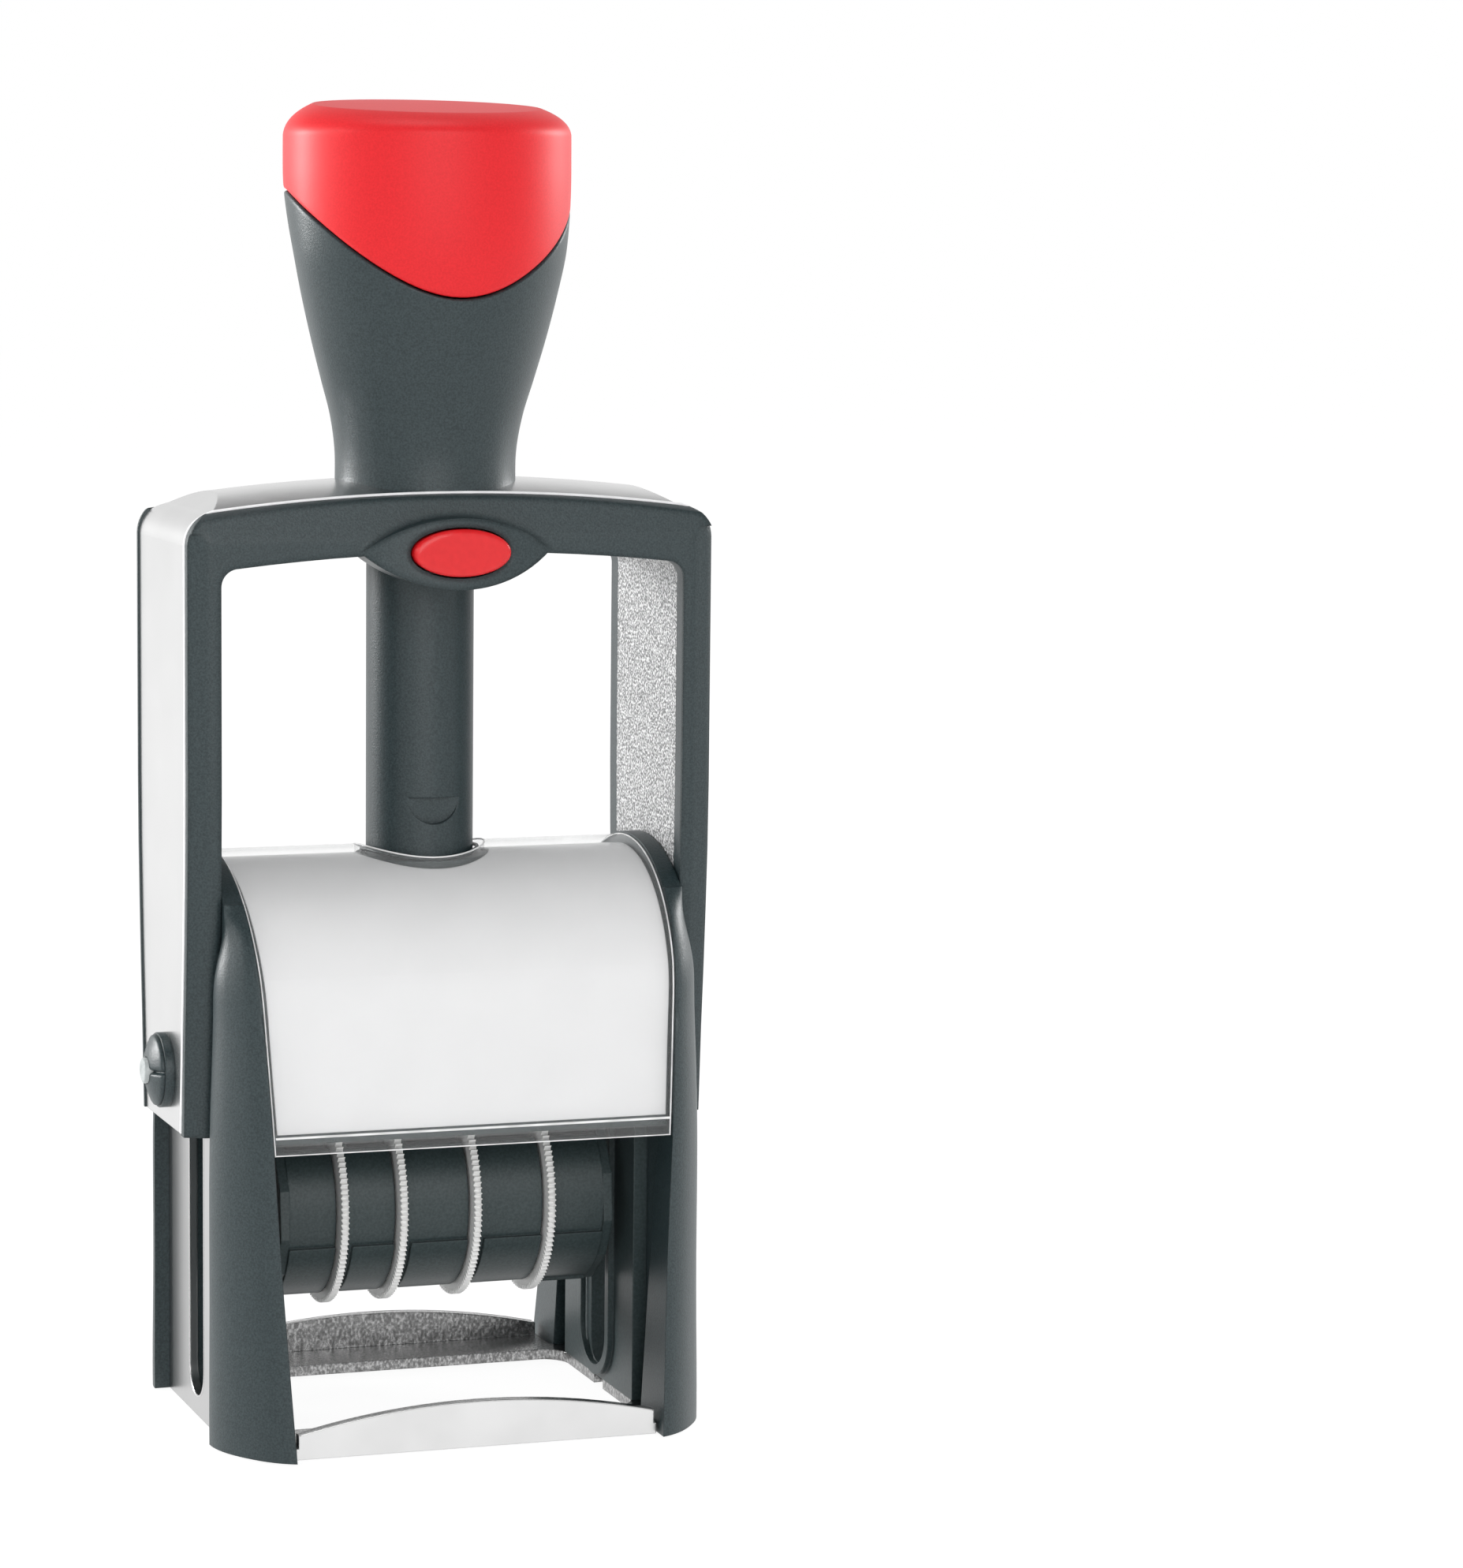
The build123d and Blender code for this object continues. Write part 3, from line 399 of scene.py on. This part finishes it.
def soft_lamp(name, place, watts, width):
    """Square soft box aimed at the middle of the stamp."""
    data = bpy.data.lights.new(name, "AREA")
    data.energy, data.size = watts, width
    lamp = bpy.data.objects.new(name, data)
    bpy.context.scene.collection.objects.link(lamp)
    place = Vector(place)
    turn = (Vector((0, 0, 0.08)) - place).to_track_quat("-Z", "Y").to_matrix().to_4x4()
    lamp.matrix_world = Matrix.Translation(place) @ turn


studio_world()
studio_floor()
soft_lamp("key_left", (-0.95, 0.05, 0.55), 1.7, 0.4)
soft_lamp("front_fill", (-0.1, -1.2, 0.5), 5.6, 0.8)
soft_lamp("rim_left", (-0.86, 0.72, 0.3), 10.0, 0.3)
soft_lamp("rim_right", (0.95, 0.3, 0.35), 5.0, 0.35)
soft_lamp("overhead", (0.0, 0.15, 1.3), 2.4, 0.5)
bpy.context.scene.view_settings.view_transform = "Standard"


# ---- surfaces ------------------------------------------------------------------------
def surface(name, points, body, slot, node=None, crease=38, look=None):
    """A grid of points in millimetres, made a mesh that rides on a body.

    Rows run along a profile and columns go round. Row r, column c and their next neighbours are the corners
    of each face, and the last column joins the first. Doubled points are merged, which closes a row that
    shrinks to one point; then the faces are turned outwards. Edges sharper than the crease angle stay sharp.
    """
    rows, columns = points.shape[:2]
    index = np.arange(rows * columns).reshape(rows, columns)
    index = np.concatenate([index, index[:, :1]], axis=1)
    faces = np.stack([index[:-1, :-1], index[:-1, 1:], index[1:, 1:], index[1:, :-1]], axis=-1).reshape(-1, 4)
    mesh = bpy.data.meshes.new(name)
    mesh.from_pydata((points.reshape(-1, 3) * MM).tolist(), [], faces.tolist())
    shape = bmesh.new()
    shape.from_mesh(mesh)
    bmesh.ops.remove_doubles(shape, verts=shape.verts, dist=2e-6)
    bmesh.ops.recalc_face_normals(shape, faces=shape.faces)
    for face in shape.faces:
        face.smooth = True
    shape.to_mesh(mesh)
    shape.free()
    mesh.set_sharp_from_angle(angle=math.radians(crease))
    piece = bpy.data.objects.new(name, mesh)
    bpy.context.scene.collection.objects.link(piece)
    mesh.materials.append(MATERIALS[look or slot])
    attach(piece, body)
    if node:
        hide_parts(node)
    return piece


def smooth_curve(knots, samples):
    """Smooth cubic through (x, y) knots, sampled at the given x values.

    Between two knots it is the Hermite cubic whose end slopes are the mean slopes of the neighbours.
    """
    x, y = np.array(knots, float).T
    slope = np.gradient(y, x)
    k = np.clip(np.searchsorted(x, samples) - 1, 0, len(x) - 2)
    h = x[k + 1] - x[k]
    t = np.clip((samples - x[k]) / h, 0.0, 1.0)
    return ((2 * t**3 - 3 * t**2 + 1) * y[k] + (t**3 - 2 * t**2 + t) * h * slope[k]
            + (-2 * t**3 + 3 * t**2) * y[k + 1] + (t**3 - t**2) * h * slope[k + 1])


# ---- grip and cap --------------------------------------------------------------------
# (height, mean radius) and (height, how much less the radius is at the back than in front)
GRIP_MEAN_R = [(104, 10.42), (108, 10.42), (112, 10.48), (116, 11.1), (120, 12.2), (124.7, 13.45),
               (129.6, 14.6), (134.5, 15.57), (138.1, 16.1), (142.2, 16.46), (146, 16.5), (152, 16.4)]
GRIP_FALL = [(104, 0.25), (112, 0.3), (115, 0.45), (120, 0.75), (125, 1.05), (130, 1.26),
             (134.5, 1.38), (138, 1.0), (142, 0.6), (148, 0.5), (152, 0.5)]
GRIP_EDGE = math.radians(74)     # soft upright edge between the round front and the flatter sides
GRIP_EDGE_SOFT = 0.045           # width of that edge, in radians
GRIP_FOOT_Z, GRIP_BORE_R, GRIP_BORE_Z = 106.5, 6.9, 121.0
SEAM_LOW, SEAM_RISE, SEAM_HALF_GAP = 129.6, 12.05, 0.08


def grip_radius(phi, z):
    """Radius of the grip's outside at angle phi from the front and height z.

    The mean radius plus half the fall in front; past the soft edge the radius falls off by the fall, at
    first steeply and then ever less towards the back.
    """
    past = np.log1p(np.exp((np.abs(phi) - GRIP_EDGE) / GRIP_EDGE_SOFT)) * GRIP_EDGE_SOFT / math.radians(33)
    share = (1 - np.exp(-past / 2)) / (1 - math.exp(-0.5))
    return smooth_curve(GRIP_MEAN_R, z) + smooth_curve(GRIP_FALL, z) * (0.5 - share)


def parting_height(phi):
    """Height of the seam between grip and cap: low at the front, rising as a squared sine to a level back."""
    turned = np.minimum(np.abs(phi), math.radians(100))
    return SEAM_LOW + SEAM_RISE * np.sin(0.9 * turned) ** 2


def turned_grid(phi, radius, z):
    """Points at angle phi from the front, radius and height."""
    return np.stack([radius * np.sin(phi), -radius * np.cos(phi), z + 0 * phi], axis=-1)


PHI = np.linspace(-math.pi, math.pi, 288, endpoint=False)[None, :]


def flat_rows(*values):
    """Rows that each hold one value all round."""
    return np.array(values)[:, None] + 0 * PHI


def grip_surface():
    """Dark grip: heights run evenly from the strap up to the seam, which has a small round lip.

    The last rows go down the bore and close the shell.
    """
    seam = parting_height(PHI) - SEAM_HALF_GAP
    rise = np.linspace(0, 1, 90)[:, None]
    z = GRIP_FOOT_Z + (seam - 0.45 - GRIP_FOOT_Z) * rise
    lip = np.array([[0.04, -0.25], [0.14, -0.1], [0.3, -0.02], [0.55, 0.0], [2.5, 0.0]])
    foot = turned_grid(PHI, flat_rows(GRIP_BORE_R, 8.5), flat_rows(GRIP_FOOT_Z, GRIP_FOOT_Z))
    wall = turned_grid(PHI, grip_radius(PHI, z), z)
    top = turned_grid(PHI, grip_radius(PHI, seam) - lip[:, :1], seam + lip[:, 1:])
    bore = turned_grid(PHI, flat_rows(11.0, GRIP_BORE_R, GRIP_BORE_R),
                       np.concatenate([seam, flat_rows(GRIP_BORE_Z, GRIP_FOOT_Z)]))
    return np.concatenate([foot, wall, top, bore])


CAP_SHOULDER_Z, CAP_RIM_R, CAP_RIM_Z, CAP_TILT = 147.9, 13.1, 151.2, 1 / 13
CAP_CEILING = 149.0


def cap_surface():
    """Red cap: side, shoulder as a parabola, and a flat top facet that leans to the front.

    The facet's rim is a circle whose height is linear in y; the facet swells a little, as 1 - r squared. The
    last rows close the inside.
    """
    seam = parting_height(PHI) + SEAM_HALF_GAP
    lip = np.array([[2.5, 0.0], [0.45, 0.0], [0.22, 0.03], [0.08, 0.12], [0.02, 0.25]])
    bottom = turned_grid(PHI, grip_radius(PHI, seam) - lip[:, :1], seam + lip[:, 1:])
    rise = np.linspace(0, 1, 40)[:, None]
    z = seam + 0.45 + (CAP_SHOULDER_Z - seam - 0.45) * rise
    side = turned_grid(PHI, grip_radius(PHI, z), z)
    t = np.linspace(0, 1, 22)[1:, None]
    edge_r = grip_radius(PHI, flat_rows(CAP_SHOULDER_Z))
    rim_r = CAP_RIM_R * edge_r / 16.5
    rim_z = CAP_RIM_Z - CAP_TILT * rim_r * np.cos(PHI)
    pull_r, pull_z = edge_r - 0.25, CAP_SHOULDER_Z + 0.62 * (rim_z - CAP_SHOULDER_Z)
    shoulder = turned_grid(PHI, (1 - t) ** 2 * edge_r + 2 * t * (1 - t) * pull_r + t**2 * rim_r,
                           (1 - t) ** 2 * CAP_SHOULDER_Z + 2 * t * (1 - t) * pull_z + t**2 * rim_z)
    inward = np.array([0.985, 0.93, 0.8, 0.6, 0.4, 0.2, 0.0])[:, None]
    facet_z = CAP_RIM_Z + (rim_z - CAP_RIM_Z) * inward + 0.12 * (1 - inward**2)
    facet = turned_grid(PHI, rim_r * inward, facet_z)
    ceiling = turned_grid(PHI, flat_rows(0.0, 13.0, 13.5),
                          np.concatenate([flat_rows(CAP_CEILING, CAP_CEILING), seam]))
    return np.concatenate([bottom, side, shoulder, facet, ceiling, bottom[:1]])


surface("grip_shell", grip_surface(), "handle", "dark_plastic", "grip")
surface("cap_shell", cap_surface(), "handle", "red_plastic", "grip_cap", crease=17)


# ---- thumb wheels --------------------------------------------------------------------
WHEEL_T, WHEEL_TEETH, TOOTH_DEPTH, TOOTH_SCALLOP = 0.9, 120, 0.58, 0.3
WHEEL_BORE_R, HUB_R, HUB_CHAMFER = 1.55, 4.58, 0.25


def around_axle(x, r, angle, z):
    """Points at place x along the axle, radius and angle, round an axle at height z."""
    return np.stack([x + 0 * angle, r * np.cos(angle), z + r * np.sin(angle)], axis=-1)


def thumb_wheel(node):
    """Thin disc with fine round teeth: a polar grid whose rim radius falls off as a cosine of the angle.

    Each row is a ring with its own radius and place across the disc. The rim's right edge is scalloped by
    the same cosine. The last rows run down the other face to the axle's hole.
    """
    low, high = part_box(node)
    rim_r = (high.z - low.z) / MM / 2
    right = high.x / MM
    left = right - WHEEL_T
    angle = np.linspace(0, 2 * math.pi, 8 * WHEEL_TEETH, endpoint=False)[None, :]
    tooth = 0.5 * (1 - np.cos(WHEEL_TEETH * angle))
    rows = np.array([(WHEEL_BORE_R, left), (rim_r - 1.3, left), (rim_r - 0.62, left), (rim_r, left + 0.03),
                     (rim_r, right - 0.03), (rim_r - 0.62, right), (rim_r - 1.3, right), (WHEEL_BORE_R, right),
                     (WHEEL_BORE_R, left)])
    r = rows[:, :1] - TOOTH_DEPTH * tooth * (rows[:, :1] > rim_r - 0.2)
    x = rows[:, 1:] - TOOTH_SCALLOP * tooth * (np.arange(len(rows)) == 4)[:, None]
    grid = around_axle(x, r, angle, (high.z + low.z) / MM / 2)
    name = node.replace("wheel_", "thumb_wheel_")
    return surface(name, grid, name, "off_white_plastic", crease=24)


def wheel_hub(node, disc):
    """Turned hub beside the disc, with a chamfered end; it belongs to the disc."""
    low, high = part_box(node)
    start, end = low.x / MM, high.x / MM - 0.5
    angle = np.linspace(0, 2 * math.pi, 64, endpoint=False)[None, :]
    profile = np.array([(WHEEL_BORE_R, start), (HUB_R - 0.28, start), (HUB_R, start + HUB_CHAMFER),
                        (HUB_R, end), (WHEEL_BORE_R, end), (WHEEL_BORE_R, start)])
    grid = around_axle(profile[:, 1:], profile[:, :1], angle, (high.z + low.z) / MM / 2)
    body = node.replace("wheel_", "thumb_wheel_")
    surface(node.replace("wheel_", "wheel_hub_"), grid, body, "off_white_plastic")
    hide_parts(node)


for node in [n for n in NODES if n.startswith("wheel_") and n != "wheel_axle"]:
    wheel_hub(node, thumb_wheel(node))


# ---- lobed knob ----------------------------------------------------------------------
KNOB_GROOVES = [math.radians(turn) for turn in (55, 175, 295)]


def ring_on_leg(x, y0, z0, r, angle):
    """Rings square to the X axis, round the point (y0, z0)."""
    return np.stack(np.broadcast_arrays(x, y0 + r * np.cos(angle), z0 + r * np.sin(angle)), axis=-1)


def knob_surface(node, outward):
    """Knob on a leg: a stepped flange under a dome cut by three radial grooves.

    The dome's height falls with the square of the radius; each groove takes away a bell curve of the distance
    from its ray. The first row and the last two close the seat and the well in the middle.
    """
    low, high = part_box(node)
    face_x = (high.x if outward < 0 else low.x) / MM
    middle = (low.y + high.y) / MM / 2, (low.z + high.z) / MM / 2
    angle = np.linspace(0, 2 * math.pi, 240, endpoint=False)[None, :]
    flange = np.array([(4.33, 0.0), (4.33, 0.95), (4.27, 1.05), (4.1, 1.06), (4.07, 1.0), (4.03, 1.0),
                       (4.03, 1.1), (4.08, 1.14)])
    dome_r = np.concatenate([[4.08, 4.02, 3.92], np.linspace(3.8, 1.6, 16)])
    height = 1.45 + 1.05 * (1 - (dome_r / 4.1) ** 2)
    height[:3] = [1.3, 1.45, 1.52]
    r = np.concatenate([flange[:, 0], dome_r])[:, None]
    p = np.concatenate([flange[:, 1], height])[:, None] + 0 * angle
    away = [np.abs((angle - turn + math.pi) % (2 * math.pi) - math.pi) * r for turn in KNOB_GROOVES]
    cut = np.exp(-(np.minimum.reduce(away) / 0.22) ** 2)
    domed = (np.arange(len(r)) >= len(flange) - 1)[:, None]
    side = ring_on_leg(face_x + outward * (p - 0.5 * cut * domed), *middle, r - 0.18 * cut * domed, angle)
    seat = ring_on_leg(face_x, *middle, 0.0, angle)
    well = ring_on_leg(face_x + outward * 1.7, *middle, np.array([[1.55], [0.0]]), angle)
    return np.concatenate([seat, side, well])


def rivet_surface(node, outward):
    """Low dome with a shallow dimple."""
    low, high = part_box(node)
    angle = np.linspace(0, 2 * math.pi, 64, endpoint=False)[None, :]
    r = np.array([0.0, 1.48, 1.48, 1.4, 1.2, 0.95, 0.8, 0.4, 0.0])[:, None]
    rise = np.array([-1.2, -1.2, -0.25, -0.08, 0.0, -0.02, -0.1, -0.12, -0.12])[:, None]
    top = high.x / MM if outward > 0 else low.x / MM
    return ring_on_leg(top + outward * rise, (low.y + high.y) / MM / 2, (low.z + high.z) / MM / 2, r, angle)


for side, outward in (("left", -1), ("right", 1)):
    cap = f"{side}_axle_cap"
    surface(f"lobed_knob_{side}", knob_surface(cap, outward), "handle", "dark_plastic", cap)
    surface(f"rivet_{side}", rivet_surface("cap_rivets", outward), "handle", "grey_rivet", "cap_rivets")


# ---- thin edges and painted highlight lines ------------------------------------------
def bead(name, path, radius, body, slot, closed=False, look=None, slant=(0.31, 0.17, 0.94)):
    """Thin round bead: at each point of the path stands a small circle square to the path.

    The circle's two directions are the path's direction crossed with a fixed slanted line, and that crossed
    with the direction again.
    """
    ahead = np.roll(path, -1, 0) - np.roll(path, 1, 0) if closed else np.gradient(path, axis=0)
    ahead = ahead / np.linalg.norm(ahead, axis=1, keepdims=True)
    across = np.cross(ahead, slant)
    across = across / np.linalg.norm(across, axis=1, keepdims=True)
    up = np.cross(ahead, across)
    turn = np.linspace(0, 2 * math.pi, 10, endpoint=False)
    ring = across[:, None] * np.cos(turn)[None, :, None] + up[:, None] * np.sin(turn)[None, :, None]
    tube = path[:, None] + radius * ring
    if closed:
        tube = np.concatenate([tube, tube[:1]])
    else:
        tube = np.concatenate([path[:1, None] + 0 * ring[:1], tube, path[-1:, None] + 0 * ring[-1:]])
    return surface(name, tube, body, slot, look=look)


TUBE_Y = 1.5                     # the tube in the middle stands this far behind the XZ plane
DOME_CENTRE, DOME_RADIUS = 46.1, 20.2
FLANK = [(34.0, 21.03), (40.0, 20.5), (47.0, 19.72), (52.0, 19.05), (54.2, 18.5)]
FLANK_TOP_Z, FLANK_TOP_Y = FLANK[-1]
COVER_FOOT_Z, COVER_FOOT_X, COVER_BACK_Y = 34.4, 23.33, 12.5
COVER_SPREAD = 0.054             # how much wider the cover grows for each unit of height
COVER_SINK = 0.02                # how deep the edge lines lie in the cover's skin


def cover_line(side):
    """Edge line of the cover on one side: up the front by the flank curve, then back over the roof's circle."""
    z = np.linspace(COVER_FOOT_Z, FLANK_TOP_Z, 24)
    front = np.stack([0 * z, -smooth_curve(FLANK, z) + COVER_SINK, z], axis=-1)
    angle = np.linspace(math.asin(FLANK_TOP_Y / DOME_RADIUS) - 0.06, -math.asin(COVER_BACK_Y / DOME_RADIUS), 48)
    radius = DOME_RADIUS - COVER_SINK
    roof = np.stack([0 * angle, -radius * np.sin(angle), DOME_CENTRE + radius * np.cos(angle)], axis=-1)
    line = np.concatenate([front, roof])
    line[:, 0] = side * (COVER_FOOT_X + COVER_SPREAD * (line[:, 2] - COVER_FOOT_Z))
    return line


# pale beads along the cover's side edges and its lip: painted glints of the light the clear plastic's edges
# catch
bead("cover_edge_glint_left", cover_line(-1), 0.08, "body", "clear_plastic", look="clear_edge_glint")
bead("cover_edge_glint_right", cover_line(1), 0.09, "body", "clear_plastic", look="clear_edge_glint")
LIP_X = np.linspace(-23.3, 23.3, 24)
for label, y, z, thick in (("cover_lip_top_glint", -21.05, 36.45, 0.14), ("cover_lip_foot_glint", -21.08, 34.5, 0.07)):
    lip = np.stack([LIP_X, y + 0 * LIP_X, z + 0 * LIP_X], axis=-1)
    bead(label, lip, thick, "body", "clear_plastic", look="clear_edge_glint")

ROUND = np.linspace(0, 2 * math.pi, 96, endpoint=False)


def roof_ring(radius, sink):
    """Ring round the tube that lies on the roof: a circle seen from above, at the roof circle's height."""
    x, y = radius * np.cos(ROUND), TUBE_Y + radius * np.sin(ROUND)
    return np.stack([x, y, DOME_CENTRE + np.sqrt((DOME_RADIUS - sink) ** 2 - y ** 2)], axis=-1)


# pale bead round the opening in the cover: a painted glint
bead("opening_edge_glint", roof_ring(7.6, 0.0), 0.1, "body", "clear_plastic", True, "clear_edge_glint")
bead("collar_edge", roof_ring(6.75, 0.6), 0.22, "body", "dark_plastic", True)

STRAP_HALF_WIDTH, STRAP_FOOT_Z, STRAP_BEND_Z = 31.0, 35.1, 102.0
STRAP_SHOULDER_X, STRAP_CORNER_Z, STRAP_TOP_Z, STRAP_ARCH = 27.8, 104.82, 107.61972, 440
STRAP_SINK = 2.32                # how far the strap's front edge lies behind the yoke's half depth


def yoke_depth(z):
    """Half depth of the yoke at a height, straight between a few heights."""
    return np.interp(z, [34.8, 45, 52, 59, 66, 74, 115], [10.4, 11.1, 11.7, 12.2, 12.6, 12.8, 12.8])


def strap_line():
    """Front edge of the strap: up one leg, round the corner by a parabola, over the shallow arch, and down.

    The arch falls as x squared. The depth follows the half depth of the yoke at each height.
    """
    leg = np.linspace(STRAP_FOOT_Z, STRAP_BEND_Z, 40)
    left = np.stack([0 * leg - STRAP_HALF_WIDTH, 0 * leg, leg], axis=-1)
    t = np.linspace(0, 1, 14)[1:, None]
    start = np.array([-STRAP_HALF_WIDTH, 0, STRAP_BEND_Z])
    pull = np.array([-STRAP_HALF_WIDTH, 0, STRAP_CORNER_Z])
    end = np.array([-STRAP_SHOULDER_X, 0, STRAP_TOP_Z - STRAP_SHOULDER_X**2 / STRAP_ARCH])
    corner = (1 - t) ** 2 * start + 2 * t * (1 - t) * pull + t**2 * end
    x = np.linspace(-STRAP_SHOULDER_X, 0, 40)[1:]
    arch = np.stack([x, 0 * x, STRAP_TOP_Z - x**2 / STRAP_ARCH], axis=-1)
    half = np.concatenate([left, corner, arch])
    line = np.concatenate([half, (half * [-1, 1, 1])[-2::-1]])
    line[:, 1] = -yoke_depth(line[:, 2]) + STRAP_SINK
    return line


# near-white bead along the strap's front edge: a painted highlight line
bead("strap_edge_highlight", strap_line(), 0.19, "handle", "polished_steel", look="painted_highlight")


def slot_line(x, half, low, high):
    """Outline of an upright round-ended slot."""
    turn = np.linspace(0, math.pi, 20)
    top = np.stack([half * np.cos(turn), high - half + half * np.sin(turn)], axis=-1)
    foot = np.stack([-half * np.cos(turn), low + half - half * np.sin(turn)], axis=-1)
    line = np.concatenate([top, foot])
    return np.concatenate([np.full((len(line), 1), x), line], axis=1)


# distance of each slot's outline from the middle, its half width, foot and top; the bead's radius and finish
SLOTS = [("slot_edge", 27.2, 3.5, 2.3, 47.3, 0.14, "polished_steel", None),
         # the guide's rim bead has a finish lighter than the plastic round it: a painted highlight
         ("guide_edge_highlight", 21.95, 4.0, 1.9, 46.6, 0.17, "inner_plastic", "guide_edge_highlight")]
for side, sign in (("left", -1), ("right", 1)):
    for label, away, half, foot, top, thick, slot, look in SLOTS:
        bead(f"{label}_{side}", slot_line(sign * away, half, foot, top), thick, "body", slot, True, look)

BAR_FACE_Y, BAR_ARCH_Z, BAR_ARCH_RISE, BAR_HALF_SPAN = 22.62, 5.22, 2.5, 21.1
for label, sign in (("front", -1), ("back", 1)):
    x = np.linspace(-21, 21, 48)
    arch_z = BAR_ARCH_Z - BAR_ARCH_RISE * (x / BAR_HALF_SPAN) ** 2
    bead(f"bar_edge_{label}", np.stack([x, sign * BAR_FACE_Y + 0 * x, arch_z], axis=-1), 0.12, "body",
         "polished_steel")


# ---- springs -------------------------------------------------------------------------
BUTTON_Z = 101.1


def helix(mean_r, turns, start, end):
    """Helix of unit steps: angle grows evenly while the third coordinate goes from start to end."""
    angle = np.linspace(0, 2 * math.pi * turns, turns * 20 + 1)
    return mean_r * np.cos(angle), mean_r * np.sin(angle), start + (end - start) * angle / angle[-1]


# the handle's travel of 29 mm shortens the return spring, which is 83.6 mm long at rest
x, y, z = helix(4.0, 18, 64.55, 147.05)
spring = bead("return_coil", np.stack([x, TUBE_Y + y, z], axis=-1), 0.55, "body", "spring_steel")
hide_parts("return_spring")
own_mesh(spring)

# the button's travel of 1.4 mm shortens the button spring, which is 3.06 mm long at rest
x, z, y = helix(2.45, 4, -10.78, -8.12)
coil = np.stack([x, y, BUTTON_Z + z], axis=-1)
spring = bead("button_coil", coil, 0.2, "handle", "spring_steel", slant=(0.1, 0.99, 0.05))
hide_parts("button_spring")
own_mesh(spring)


# ---- ink pad -------------------------------------------------------------------------
def felt_pad():
    """Crowned felt pad: a rounded rectangle by a superellipse of power 8, its faces swelling to the middle.

    Each row has its share of the outline's reach and its level between the two faces.
    """
    low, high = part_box("ink_pad")
    middle = [(a + b) / 2 / MM for a, b in zip(low, high)]
    half = [(b - a) / 2 / MM for a, b in zip(low, high)]
    turn = np.linspace(0, 2 * math.pi, 128, endpoint=False)[None, :]
    reach = (np.abs(np.cos(turn)) ** 8 + np.abs(np.sin(turn)) ** 8) ** (-1 / 8)
    share = np.array([0, 0.3, 0.6, 0.85, 0.96, 0.99, 1.0, 1.0, 0.99, 0.96, 0.85, 0.6, 0.3, 0])[:, None]
    level = np.array([1, 0.98, 0.95, 0.9, 0.82, 0.65, 0.35, -0.6, -0.88, -0.97, -1, -1, -1, -1])[:, None]
    x = middle[0] + half[0] * 0.985 * share * reach * np.cos(turn)
    y = middle[1] + half[1] * 0.985 * share * reach * np.sin(turn)
    flip = -1 if middle[2] > 53.25 else 1
    return np.stack([x, y, middle[2] + flip * half[2] * 0.98 * level + 0 * x], axis=-1)


pad = surface("felt_pad", felt_pad(), "pad_drawer", "ink_felt", "ink_pad")
